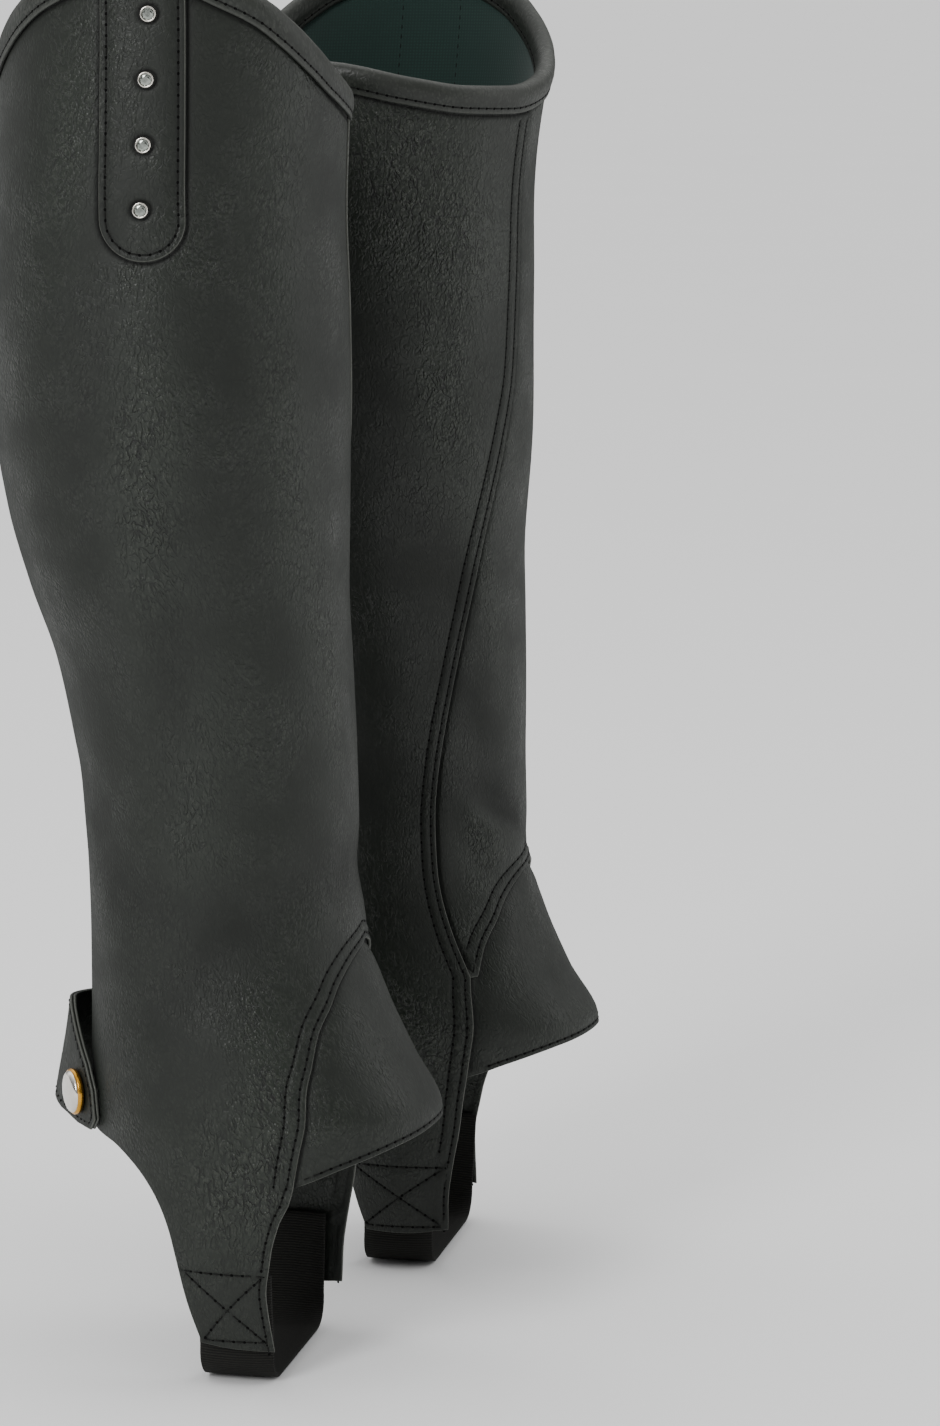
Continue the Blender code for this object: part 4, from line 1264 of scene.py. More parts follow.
# ---- the pieces of one chap ----
@dataclass
class Panels:
    """The leather of one chap: outer panel, inner panel and ankle flap, with their seams."""

    leg: Leg
    thickness: float = 1.2
    under_lap: float = 5.0
    near_row: float = 1.9
    far_row: float = 5.7
    row_depth: float = 0.34
    row_width: float = 0.75
    groove_depth: float = 0.5
    groove_width: float = 0.7
    seam_swell: float = 0.42
    seam_swell_width: float = 4.5
    lap_swell: float = 0.7
    lap_swell_width: float = 5.0
    between_rows: float = 3.8  # where the leather rises again between the two rows
    outer_ridge: float = 0.16
    inner_ridge: float = 0.18
    ridge_foot: float = 60.0  # heights above which each of these runs
    far_row_foot: float = 69.0
    inner_row_foot: float = 50.0
    lap_foot: float = 116.0
    flap_side_foot: float = 77.0
    hem_row_ends: tuple[float, float] = (113.0, 241.0)
    zip_edge: float = 6.0
    zip_foot: float = 86.0
    zip_row: float = 2.4
    zip_swell: float = 0.25
    zip_swell_width: float = 3.5
    hem_row: float = 1.7
    binding_edge: float = 8.5
    box_dip: float = 0.26
    box_width: float = 0.8
    tucked: float = 0.95  # how far a panel's edge dips under the one that laps it
    rows: list[Row] = field(default_factory=list)

    def __post_init__(self) -> None:
        """Draws the lines that the panels share."""
        top = INNER_SEAM[0].turn - 0.6
        rim = Spot(top, float(rim_height(np.array([top]))[0]) - 1.2)
        self.inner_seam = Line.through((rim, *INNER_SEAM), 3.0)
        self.strap_front = Line.through(INNER_STRAP_FRONT, 3.0)
        self.lap = joined(self.inner_seam, self.strap_front)
        self.flap_outer = Line.through(FLAP_SEAM, 3.0)
        self.flap_inner = Line.through(FLAP_SEAM[:6], 3.0).mirrored()
        self.flap_top = joined(self.flap_inner, self.flap_outer)
        self.outer_front = Line.through(OUTER_STRAP_FRONT, 3.0)
        self.rear = Line.through(REAR_HEM, 3.0)
        heights = np.arange(self.zip_foot, RIM[0].height, 3.0)
        self.zip_line = Line(pairs(turn_across(self.zip_edge, heights), heights))
        turns = np.arange(6.0, 356.0, 2.0)
        self.under_binding = Line(pairs(turns, rim_height(turns) - self.binding_edge))
        self.round_tab = CrestTab(self.leg).outline(-0.7)
        self.box_outer = self.box(70.0, 102.0, 77.5, 105.0, 44.5, 21.4)
        self.box_inner = self.box(290.0, 250.5, 284.5, 247.0, 44.5, 22.0)

    @staticmethod
    def box(rear: float, front: float, low_rear: float, low_front: float, top: float,
            low: float) -> list[Line]:
        """Draws the crossed box of stitches that holds the elastic.

        Args:
            rear: Its rear turn at the top.
            front: Its front turn at the top.
            low_rear: Its rear turn at the foot.
            low_front: Its front turn at the foot.
            top: The height of its top.
            low: The height of its foot.

        Returns:
            Its top, its foot and its cross.
        """
        corners = np.array([(rear, top), (front, top), (low_rear, low), (low_front, low)])
        lines = [corners[:2], corners[2:]]
        for start, end in (corners[[0, 3]], corners[[1, 2]]):
            short = (end - start) * 0.03
            lines.append((start + short, end - short))
        return [Line.through(line, 1.2) for line in lines]

    def rim_part(self, start: float, end: float, below: float = 1.2) -> Line:
        """The rim between two turns, a little under the binding's fold."""
        turns = np.append(np.arange(start, end, 3.0), end)
        return Line(pairs(turns, rim_height(turns) - below))

    def row_dip(self, distance: Array, *places: float) -> Array:
        """The trough that each row of stitches pulls, at distances from the edge."""
        return sum(-self.row_depth * bump(distance - place, self.row_width) for place in places)

    def groove(self, spots: Array, *lines: Line, shift: float = 0.0) -> Array:
        """The groove that another piece's edge presses along lines, shifted to their left."""
        return sum(-self.groove_depth * bump(line.signed(spots) - shift, self.groove_width)
                   for line in lines)

    def painted_shade(self, *lines: Line, stitched: Sequence[Line] = ()) -> Depth:
        """Makes the painted shade along other pieces' edges and along the panel's own stitches.

        Args:
            lines: Where other pieces' edges lie.
            stitched: The panel's own rows.

        Returns:
            What gives the darkness at each spot, from 0 to 1.
        """
        marks = [(line, 1.0, 0.75) for line in lines] + [(line, 0.55, 0.6) for line in stitched]

        def depth(spots: Array) -> Array:
            """The darkness at each spot."""
            return np.max([dark * bump(line.signed(spots), width) for line, dark, width in marks],
                          axis=0)
        return depth

    def outer_face(self, spots: Array) -> Array:
        """Shapes the outer panel's face: swells, rows, grooves and the tucked edge.

        Args:
            spots: Turns and heights.

        Returns:
            Millimetres out from the form.
        """
        lap = -self.lap.signed(spots)
        flap = -self.flap_top.signed(spots)
        front = np.abs(self.outer_front.signed(spots))
        edge = np.minimum(np.where(flap > 0, flap, 99.0), front)
        rows = self.row_dip(np.where(spots[:, 1] > self.far_row_foot, edge, 99), self.far_row)
        face = self.seam_swell * bump(edge, self.seam_swell_width)
        face = face + self.row_dip(edge, self.near_row + 0.2) + rows
        ridge = self.outer_ridge * bump(edge - self.between_rows, 1.0)
        face += ridge * (spots[:, 1] > self.ridge_foot)
        under = ease((2.6 - lap) / 3.4)
        face = self.sewn_face(spots, face, self.zip_line, self.box_outer)
        face += self.groove(spots, self.under_binding, self.round_tab)
        lapped = self.groove(spots, self.inner_seam, shift=-0.5) * 0.7
        return np.where(spots[:, 1] > self.lap_foot,
                        face * (1 - under) - self.tucked * under + lapped, face)

    def inner_face(self, spots: Array) -> Array:
        """Shapes the inner panel's face: swells, rows and grooves.

        Args:
            spots: Turns and heights.

        Returns:
            Millimetres out from the form.
        """
        edge = np.abs(self.lap.signed(spots))
        face = self.lap_swell * bump(edge, self.lap_swell_width)
        face = face + self.row_dip(edge, self.near_row, self.far_row)
        face += self.inner_ridge * bump(edge - self.between_rows, 1.0)
        face = self.sewn_face(spots, face, self.zip_line.mirrored(), self.box_inner)
        return face + self.groove(spots, self.under_binding)

    def sewn_face(self, spots: Array, face: Array, zip_line: Line, box: list[Line]) -> Array:
        """Adds what both panels have: the box that holds the elastic, and the zip's edge.

        Args:
            spots: Turns and heights.
            face: The face so far.
            zip_line: The panel's edge along the zip.
            box: The lines of the box.

        Returns:
            The face with its dips and its swell.
        """
        for line in box:
            face = face - self.box_dip * bump(line.signed(spots), self.box_width)
        side = np.abs(zip_line.signed(spots))
        swell = self.zip_swell * bump(side, self.zip_swell_width)
        return face + self.row_dip(side, self.zip_row) + swell

    def flap_face(self, spots: Array) -> Array:
        """Shapes the flap's face, which dips under the panels' edges.

        Args:
            spots: Turns and heights.

        Returns:
            Millimetres out from the form.
        """
        seam = np.minimum(self.flap_top.signed(spots), -self.strap_front.signed(spots))
        hem = np.abs(Line.through(FLAP_HEM, 3.0).signed(spots))
        face = -self.tucked * (1 - ease(seam / 6.5)) - 0.3 * bump(seam - 0.6, 0.8)
        return face + self.row_dip(hem, self.hem_row) * 0.8 + 0.2 * bump(hem, 2.5)

    def finish_panel(self, shell: Shell, lines: Sequence[Line], node: str) -> None:
        """Args:
            shell: The panel's wall.
            lines: Its rows of stitches.
            node: The node that it replaces, without the leg's name.
        """
        obj = shell.make()
        self.rows += [row_on(self.leg, line, shell.face) for line in lines]
        dress(obj, "leather", f"{self.leg.name}_{node}")
        declare_sheet(self.leg, shell.outline)

    def make_outer(self) -> None:
        """Builds the outer panel, from the zip round to the inner seam."""
        seam = self.inner_seam.beside(self.under_lap)
        rim = self.rim_part(float(self.zip_line.spots[-1, 0]), float(seam.spots[0, 0]) - 1.0)
        foot = Line.through((OUTER_STRAP_FRONT[-1], Spot(93, 18.6), REAR_HEM[0]), 3.0)
        outline = joined(self.zip_line, rim, seam, self.flap_inner, self.flap_outer,
                         self.outer_front, foot, self.rear)
        near = joined(self.flap_outer.beside(-self.near_row),
                      self.outer_front.beside(-self.near_row - 0.5))
        lines = [joined(self.flap_inner.beside(-self.near_row), near),
                 joined(self.flap_inner.beside(-self.far_row),
                        self.flap_outer.beside(-self.far_row)),
                 self.zip_line.beside(-self.zip_row), *self.box_outer]
        pressed = (self.under_binding, self.round_tab, self.inner_seam.beside(-0.5))
        shell = Shell(f"{self.leg.name}_outer_leather", self.leg, outline, self.thickness,
                      self.outer_face, rows=(*lines, *pressed),
                      seams=self.painted_shade(*pressed, stitched=lines))
        self.finish_panel(shell, lines, "outer_panel")

    def make_inner(self) -> None:
        """Builds the inner panel, from the inner seam round to the zip."""
        mirror = self.zip_line.mirrored()
        rim = self.rim_part(float(self.lap.spots[0, 0]), float(mirror.spots[0, 0]))
        foot = Line.through((Spot(284, 20), Spot(265, 19.5), INNER_STRAP_FRONT[-1]), 3.0)
        outline = joined(rim, mirror, self.rear.mirrored(), foot, self.lap.reversed())
        far = self.lap.beside(self.far_row)
        lines = [self.lap.beside(self.near_row), far.part(far.spots[:, 1] > self.inner_row_foot),
                 mirror.beside(-self.zip_row), *self.box_inner]
        shell = Shell(f"{self.leg.name}_inner_leather", self.leg, outline, self.thickness,
                      self.inner_face, rows=(*lines, self.under_binding),
                      seams=self.painted_shade(self.under_binding, stitched=lines))
        self.finish_panel(shell, lines, "inner_panel")

    def make_flap(self) -> None:
        """Builds the ankle flap, whose top and sides lie under the panels."""
        side = self.strap_front.part(self.strap_front.spots[:, 1] > self.flap_side_foot)
        hem = Line.through(FLAP_HEM, 3.0)
        outline = joined(self.flap_inner.beside(-self.under_lap),
                         self.flap_outer.beside(-self.under_lap), hem,
                         side.beside(self.under_lap).reversed())
        row, (start, end) = hem.beside(self.hem_row), self.hem_row_ends
        row = row.part((row.spots[:, 0] > start) & (row.spots[:, 0] < end))
        pressed = (self.flap_top.beside(0.4), self.strap_front.beside(-0.4))
        shell = Shell(f"{self.leg.name}_flap_leather", self.leg, outline, self.thickness,
                      self.flap_face, rows=(row, self.flap_top, self.strap_front), spacing=2.6,
                      grain=0.5, seams=self.painted_shade(*pressed, stitched=[row]))
        self.finish_panel(shell, [row], "ankle_flap")


@dataclass
class Binding:
    """The strip folded over the rim, with its row of stitches."""

    leg: Leg
    rows: tuple[Step, Step] = table(Step, (1.22, -5.7), (-4.5, -5.7))
    across: float = 6.4  # from the middle of the zip to each of its ends
    runs: int = 200
    grain: float = 0.25
    # Painted highlight on the strip's lower edge and over its fold's top, broken up like wear.
    lit_and_rubbed_steps: tuple[int, ...] = (0, 1, 3, 7, 9, 12, 27)
    wear_and_highlight: tuple[float, ...] = (0.2, 0.5, 0.0, 0.3, 0.45, 0.0, 0.0)
    # Round the strip: up its outer leaf, over the fold, down its inner leaf, and back under it.
    profile: tuple[Step, ...] = table(
        Step, (0.95, -7.6), (1.22, -7.3), (1.42, -6.6), (1.22, -5.7), (1.62, -4.6),
        (1.85, -3.0), (1.75, -1.2), (1.3, 0.4), (0.4, 1.25), (-1.0, 1.6), (-2.6, 1.45),
        (-4.0, 0.5), (-4.8, -1.2), (-5.0, -3.0), (-4.75, -4.6), (-4.5, -5.7), (-4.75, -6.6),
        (-4.5, -7.5), (-3.95, -7.6), (-3.85, -6.0), (-3.95, -2.0), (-2.6, 0.1), (-1.0, 0.3),
        (0.35, -0.6), (0.35, -3.0), (0.25, -6.4), (0.15, -7.5),
    )

    def make(self, stitches: list[Row]) -> None:
        """Builds the strip and lays its stitches.

        Args:
            stitches: The chap's rows of stitches, which its own is added to.
        """
        start = float(turn_across(self.across, np.array([RIM[0].height]))[0])
        turns = np.linspace(start, 360 - start, self.runs)
        rim = Line(pairs(turns, rim_height(turns)))
        around = reach_of(np.array(self.profile))
        rings, pattern = [], []
        for step, reach in zip(self.profile, around):
            moved = rim.beside(step.rise).spots
            rings.append(self.leg.place(moved, step.out))
            pattern.append(pairs(flat_of(moved)[:, 0], reach))
        obj = swept(f"{self.leg.name}_binding_leather", np.stack(rings, axis=1), Finish.BINDING,
                    np.stack(pattern, axis=1) * MM, flip=self.leg.outward < 0)
        give(obj, "grain_and_ridge_light", np.full(len(obj.data.vertices), self.grain))
        # Painted highlight along the lower edge and the fold's top.
        worn = np.interp(np.arange(len(self.profile)), self.lit_and_rubbed_steps, self.wear_and_highlight)
        give(obj, "worn", np.tile(worn, self.runs))
        for step, proud in zip(self.rows, (0.05, -0.05)):
            stitches.append(row_on(self.leg, rim.beside(step.rise), step.out, proud))
        dress(obj, "leather", f"{self.leg.name}_top_binding")
        run = np.linalg.norm(np.diff(self.leg.place(rim.spots), axis=0), axis=1).sum()


@dataclass
class Lining:
    """The knitted lining, with the crest tab's stitches showing on its face."""

    leg: Leg
    face: float = -2.2
    slack: float = 0.35
    thickness: float = 0.9
    edge: float = 10.9
    hem: float = 100.0
    top: float = 428.0
    tab_lines: tuple[float, float] = (84.4, 107.6)
    tab_span: tuple[float, float] = (378.0, 452.0)
    below_rim: float = 1.5
    spacing: float = 4.0
    fineness: float = 4.5

    def depth(self, spots: Array) -> Array:
        """The lining's outer face, with slack ripples low down."""
        ripple = np.sin(np.radians(spots[:, 0] * 7)) * ease((330 - spots[:, 1]) / 120)
        return self.face - self.slack + self.slack * ripple

    def make(self, stitches: list[Row]) -> None:
        """Builds the lining.

        Args:
            stitches: The chap's rows of stitches, which those on the lining are added to.
        """
        heights = np.arange(self.hem, self.top, self.spacing)
        side = Line(pairs(turn_across(self.edge, heights), heights))
        low, high = side.spots[0, 0], side.spots[-1, 0]
        turns = np.append(np.arange(high, 360 - high, self.spacing), 360 - high)
        rim = Line(pairs(turns, rim_height(turns) - self.below_rim))
        foot = Line(pairs(np.linspace(360 - low, low, 80)[1:-1], self.hem))
        outline = joined(side, rim, side.mirrored(), foot)
        tab = [Line.through([Spot(turn, height) for height in self.tab_span], 1.5)
               for turn in self.tab_lines]
        obj = Shell(f"{self.leg.name}_lining_cloth", self.leg, outline, self.thickness,
                    self.depth, Finish.LINING, tuple(tab), self.fineness).make()
        inner = self.face - self.slack - self.thickness
        stitches += [row_on(self.leg, line, inner, 0.16) for line in tab]
        dress(obj, "lining", f"{self.leg.name}_lining")
        declare_sheet(self.leg, outline)


@dataclass
class CrestTab:
    """The strip with a round end that carries the crystals."""

    leg: Leg
    turn: float = 96.0
    bottom: float = 372.0
    half: float = 12.9
    thickness: float = 1.3
    below_rim: float = 8.4
    row: float = 2.1
    heights: tuple[float, ...] = (388.0, 408.0, 428.0, 448.0)
    stone_turn: float = 96.5
    stone_ring: float = 2.9
    lean: float = 0.038  # degrees of turn back for each millimetre above lean_from
    lean_from: float = 400.0
    lift: float = 0.25
    pad: float = 0.3
    dips: tuple[float, float] = (0.35, 0.36)  # round the cups and along the stitches

    def outline(self, inset: float = 0.0) -> Line:
        """Draws the U of the tab's edge.

        Args:
            inset: Millimetres in from the edge.

        Returns:
            The line, from the top on one side round to the top on the other.
        """
        wide = self.half / MM_PER_DEGREE / 1.05
        share = (self.half - inset) / self.half
        centre = self.bottom + self.half
        angles = np.linspace(math.pi, 2 * math.pi, 25)
        arc = pairs(wide * share * np.cos(angles),
                    centre + (self.half - inset) * np.sin(angles))
        ends = self.turn - 2.0 + np.array([-wide * share, wide * share])
        tops = rim_height(ends) - self.below_rim - (0.0 if inset == 0 else 1.0)
        left = [(arc[0, 0], h) for h in np.arange(tops[0], centre, -3.0)]
        right = [(arc[-1, 0], h) for h in np.arange(tops[1], centre, -3.0)[::-1]]
        spots = np.concatenate([np.array(left), arc, np.array(right)])
        spots[:, 0] += self.turn - self.lean * (spots[:, 1] - self.lean_from)
        return joined(Line(spots))

    def face(self, spots: Array) -> Array:
        """Shapes the tab's face: padded in its middle, pulled down along its stitches.

        Args:
            spots: Turns and heights.

        Returns:
            Millimetres out from the leather under it.
        """
        edge = np.abs(self.outline().signed(spots))
        body = self.lift + self.thickness + self.pad * ease((edge - 2.0) / 5.0)
        for ring in self.stone_rings():
            body = body - self.dips[0] * bump(ring.signed(spots), 0.7)
        return body - self.dips[1] * bump(edge - self.row, 0.8)

    def painted_shade(self, spots: Array) -> Array:
        """Paints shade on the tab round its stones and along its stitches.

        Args:
            spots: Turns and heights.

        Returns:
            The darkness at each spot, from 0 to 1.
        """
        edge = np.abs(self.outline().signed(spots))
        total = 0.5 * bump(edge - self.row, 0.6)
        for ring in self.stone_rings():
            total = np.maximum(total, bump(ring.signed(spots), 0.6))
        return total

    def stone_rings(self) -> list[Line]:
        """Draws the rings that the stones' cups press into the leather.

        Returns:
            A closed line for each stone.
        """
        angles = np.linspace(0, 2 * math.pi, 25)
        ring = pairs(np.cos(angles), np.sin(angles)) * self.stone_ring
        return [Line(spots_of(flat_of(np.array([[self.stone_turn, height]])) + ring))
                for height in self.heights]

    def make(self, stitches: list[Row]) -> None:
        """Builds the tab and its crystals.

        Args:
            stitches: The chap's rows of stitches, which the tab's own is added to.
        """
        edge = self.outline()
        across = np.linspace(edge.spots[-1, 0], edge.spots[0, 0], 12)[1:-1]
        outline = joined(edge, Line(pairs(across, rim_height(across) - self.below_rim)))
        row = self.outline(self.row)
        obj = Shell(f"{self.leg.name}_crest_leather", self.leg, outline, self.thickness,
                    self.face, rows=(row, *self.stone_rings()), spacing=2.4, rounding=0.5,
                    grain=0.35, row_offsets=(-1.3, -0.6, 0.0, 0.6, 1.3),
                    seams=self.painted_shade).make()
        dress(obj, "leather", f"{self.leg.name}_crest_tab")
        declare_sheet(self.leg, outline)
        stitches.append(row_on(self.leg, row, self.face))
        for number, height in enumerate(self.heights, start=1):
            Crystal(self.leg, number, Spot(self.stone_turn, height)).make(self.face)


def turned_rings(place: Array, axes: Array, profile: Sequence[Step], sides: int,
                 twist: float = 0.0) -> Array:
    """Turns a profile about an axis.

    Args:
        place: The axis's foot, in metres.
        axes: Its side, its up and its way out, as rows.
        profile: Its steps out from the axis and up along it.
        sides: How many points a ring has.
        twist: Degrees that each ring is turned past the one before.

    Returns:
        The rings of points, in metres.
    """
    rings = []
    for k, (radius, rise) in enumerate(profile):
        angle = 2 * math.pi * np.arange(sides) / sides + math.radians(twist) * k
        spot = [radius * np.cos(angle), radius * np.sin(angle), np.full(sides, rise)]
        rings.append(place + np.stack(spot, axis=1) * MM @ axes)
    return np.stack(rings)


def axes_of(normal: Array) -> Array:
    """Finds the axes of a face.

    Args:
        normal: The way out of it.

    Returns:
        Its side, its up and its way out, as rows.
    """
    side = np.cross([0.0, 0.0, 1.0], normal)
    side /= np.linalg.norm(side)
    return np.stack([side, np.cross(normal, side), normal])


@dataclass
class Crystal:
    """A cut stone in a round silver cup."""

    leg: Leg
    number: int
    spot: Spot
    cup: tuple[Step, ...] = table(Step, (2.4, -0.4), (2.52, 0.1), (2.54, 0.75), (2.42, 1.12),
                                  (2.2, 1.25), (1.98, 1.15), (1.88, 0.9), (1.8, 0.4))
    stone: tuple[Step, ...] = table(Step, (1.84, 0.5), (1.9, 1.0), (1.52, 1.42), (0.95, 1.7))
    facets: int = 9
    cup_sides: int = 28

    def make(self, face: Depth) -> None:
        """Builds the cup and the stone.

        Args:
            face: The face of the tab that they stand on.
        """
        spots = np.array([self.spot], float)
        place = self.leg.place(spots, face(spots))[0]
        axes = axes_of(self.leg.normals(spots)[0])
        name = f"{self.leg.name}_crystal_{self.number}"
        cup = swept(f"{name}_cup", turned_rings(place, axes, self.cup, self.cup_sides),
                    Finish.NICKEL)
        stone = swept(f"{name}_stone", turned_rings(place, axes, self.stone, self.facets,
                      180 / self.facets), Finish.STONE)
        stone.data.shade_flat()
        dress(cup, "crystal", name)
        dress(stone, "crystal")


@dataclass
class SnapTab:
    """The doubled tab that closes over the foot of the zip, and its snap."""

    leg: Leg
    leaf: float = 1.08
    gap: float = 0.12
    low: float = 88.0
    high: float = 126.5
    row: float = 1.9
    row_dip: float = 0.28
    sewn_turn: float = -30.0  # behind it the tab is sewn under the panel
    turn: float = 19.0
    height: float = 96.5
    step: float = 2.0  # how far from the snap's middle the tab's slant is measured
    sides: int = 48
    base: tuple[Step, ...] = table(Step, (6.2, 0.2), (7.3, 0.35), (7.6, 0.8), (7.6, 1.9),
                                   (7.3, 2.3), (6.6, 2.45))
    dome: tuple[Step, ...] = table(Step, (6.9, 2.1), (6.95, 2.5), (6.5, 3.1), (5.4, 3.55),
                                   (3.6, 3.85), (1.6, 3.98), (0.4, 4.0))

    def stand_off(self, spots: Array) -> Array:
        """Measures how far the tab's inner face stands off the leather.

        Args:
            spots: Turns and heights.

        Returns:
            Millimetres at each spot.
        """
        turns, *edges = zip(*SNAP_STAND_OFF)
        low, high = (hermite(turns, edge, spots[:, 0]) for edge in edges)
        return low + (high - low) * (spots[:, 1] - self.low) / (self.high - self.low)

    def outline(self) -> Line:
        """The tab's edge, with its corners kept."""
        sides = (Line.through(ends, 2.2) for ends in zip(SNAP_TAB, SNAP_TAB[1:] + SNAP_TAB[:1]))
        return Line(joined(*sides).spots[:-1])

    def inset(self, shift: float) -> Line:
        """The free part of the edge, moved in by so many millimetres."""
        spots = spots_of(offset_ring(flat_of(self.outline().spots)[::-1], -shift)[::-1])
        return Line(spots[spots[:, 0] > self.sewn_turn])

    def outer(self, spots: Array) -> Array:
        """Shapes the face of the outer leaf, pulled down along its stitches.

        Args:
            spots: Turns and heights.

        Returns:
            Millimetres out from the leather under the tab.
        """
        ring = self.outline().spots
        edge = np.abs(Line(np.vstack([ring, ring[:1]])).signed(spots))
        dip = self.row_dip * bump(edge - self.row, 0.8)
        return self.stand_off(spots) + 2 * self.leaf + self.gap - dip

    def inner(self, spots: Array) -> Array:
        """The face of the inner leaf."""
        return self.stand_off(spots) + self.leaf

    def make(self, stitches: list[Row]) -> None:
        """Builds both leaves and the snap.

        Args:
            stitches: The chap's rows of stitches, which the tab's own is added to.
        """
        leg, outline, row = self.leg, self.outline(), self.inset(self.row)
        over = Shell(f"{leg.name}_snap_tab_leather", leg, outline, self.leaf, self.outer,
                     rows=(row,), spacing=2.2, rounding=0.45, grain=0.4).make()
        under = Shell(f"{leg.name}_snap_tab_backing", leg, outline, self.leaf, self.inner,
                      spacing=3.0, rounding=0.45, grain=0.3).make()
        for obj, nodes in ((over, (f"{leg.name}_snap_tab",)), (under, ())):
            dress(obj, "leather", *nodes)
            declare_sheet(leg, outline)
        stitches.append(row_on(leg, row, self.outer))
        self.make_snap()

    def make_snap(self) -> None:
        """Builds the brass base and the silver dome, square to the tab's slanting face."""
        ways = np.array([(0, 0), (1, 0), (-1, 0), (0, 1), (0, -1)])
        around = np.array([self.turn, self.height]) + ways * self.step
        points = self.leg.place(around, self.stand_off(around) + 2 * self.leaf + self.gap)
        normal = np.cross(points[1] - points[2], points[3] - points[4]) * -self.leg.outward
        axes = axes_of(normal / np.linalg.norm(normal))
        base, dome = (
            swept(f"{self.leg.name}_snap_{part}",
                  turned_rings(points[0], axes, profile, self.sides), finish)
            for part, profile, finish in (("base", self.base, Finish.BRASS),
                                          ("dome", self.dome, Finish.NICKEL)))
        dress(dome, "silver", f"{self.leg.name}_snap_cap")
        dress(base, "silver")


@dataclass
class Zip:
    """The zip down the back: tapes, interlocked teeth, and the slider with its pull."""

    leg: Leg
    bottom: float = 90.0
    top: float = 428.0
    tape_face: float = -1.55
    tape_thickness: float = 0.6
    tape_edge: float = 10.0
    tapes_apart: float = 0.2  # from the middle of the teeth to each tape's inner edge
    chain_face: float = -1.35
    tooth_rounding: float = 0.16
    tooth: dict[str, float] = field(default_factory=lambda: {
        "Pitch": 1.45 * MM, "Length": 0.95 * MM, "Width": 3.3 * MM, "Height": 1.9 * MM,
        "Shift": 0.65 * MM})

    def make(self, stitches: list[Row]) -> None:
        """Builds the tapes and the teeth, and dresses the slider and the pull.

        Args:
            stitches: The chap's rows of stitches, which the tapes' are added to.
        """
        leg = self.leg
        heights = np.arange(self.bottom, self.top, 3.0)
        near, far = (Line(pairs(turn_across(across, heights), heights))
                     for across in (self.tapes_apart, self.tape_edge))
        for part, side in (("outer", 1), ("inner", -1)):
            ring = joined(near, far.reversed()).spots * np.array([side, 1.0])
            tape = Shell(f"{leg.name}_zip_tape_{part}_cloth", leg, Line(ring), self.tape_thickness,
                         lambda spots: np.full(len(spots), self.tape_face),
                         finish=Finish.TAPE, rounding=0.15).make()
            dress(tape, "zip", f"{leg.name}_zip_tape_{part}")
            declare_sheet(leg, Line(ring))
        chain = Line(np.array([[0.0, self.bottom + 1], [0.0, self.top - 4]]))
        tree = repeat_tree(f"{leg.name} teeth", self.tooth, Finish.TEETH, True)
        rows = [row_on(leg, chain, self.chain_face)]
        teeth = repeated(f"{leg.name}_zip_teeth", rows, tree, self.tooth)
        self.soften(teeth)
        dress(teeth, "zip", f"{leg.name}_zip_chain")
        for node in ("zip_slider", "zip_pull"):
            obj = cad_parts[f"{leg.name}_{node}"]
            obj.data.materials.clear()
            obj.data.materials.append(material_of(Finish.PAINTED))

    def soften(self, teeth: Object) -> None:
        """Rounds the teeth's edges as the mould does.

        Args:
            teeth: The chain of teeth.
        """
        shape = bmesh.new()
        shape.from_mesh(teeth.data)
        bmesh.ops.remove_doubles(shape, verts=shape.verts[:], dist=1e-6)
        bmesh.ops.bevel(shape, geom=shape.edges[:], segments=1, affect="EDGES",
                        offset=self.tooth_rounding * MM, profile=0.5)
        shape.to_mesh(teeth.data)
        shape.free()


@dataclass
class FootStrap:
    """The elastic under the sole, sewn behind both strap ends."""

    leg: Leg
    half: float = 12.5
    thickness: float = 1.6
    top: float = 44.0
    low: float = 7.0
    forward: float = 28.5
    corner: float = 11.0
    bow: float = 2.1
    leather: float = 1.4
    inset: float = 0.8
    # Round the webbing, in shares of its half width and half thickness.
    section: tuple[Step, ...] = table(
        Step, (-1, 0), (-0.97, 0.8), (-0.6, 1), (0, 1), (0.6, 1), (0.97, 0.8), (1, 0),
        (0.97, -0.8), (0.6, -1), (0, -1), (-0.6, -1), (-0.97, -0.8),
    )

    def path(self) -> Array:
        """Draws the strap's middle, down the outer side, under the sole and up the inner one.

        Returns:
            Pairs of millimetres to the outer side and up.
        """
        behind = self.leather + self.inset + self.thickness / 2
        heights = np.linspace(self.top, self.low + self.corner, 14)
        sides = section_at(heights)[3] - behind
        angles = np.linspace(0, math.pi / 2, 12)[1:]
        turned = pairs(sides[-1] - self.corner * (1 - np.cos(angles)),
                       self.low + self.corner * (1 - np.sin(angles)))
        half = np.concatenate([pairs(sides, heights), turned])
        return np.concatenate([half, half[::-1] * np.array([-1.0, 1.0])])

    def make(self) -> None:
        """Builds the strap, a little crowned, with rounded edges."""
        path = self.path()
        out = left_of(np.gradient(path, axis=0))
        share = np.minimum(1.0, (path[:, 1] - self.low) / self.corner)
        bow = np.sign(path[:, 0]) * self.bow * share
        reach = reach_of(path)
        rings, pattern = [], []
        for across, rise in self.section:
            spot = path + out * (rise * self.thickness / 2) - pairs(bow * across * across, 0.0)
            up = spot[:, 1] - ORIGIN_HEIGHT
            lean = math.tan(math.radians(self.leg.lean)) * up
            ahead = self.leg.y - self.forward - across * self.half - lean
            rings.append(np.stack([self.leg.x + self.leg.outward * spot[:, 0], ahead, up], axis=1))
            pattern.append(pairs(across * self.half, reach))
        obj = swept(f"{self.leg.name}_elastic", np.stack(rings, axis=1) * MM, Finish.ELASTIC,
                    np.stack(pattern, axis=1) * MM, flip=self.leg.outward < 0)
        dress(obj, "webbing", f"{self.leg.name}_foot_strap")


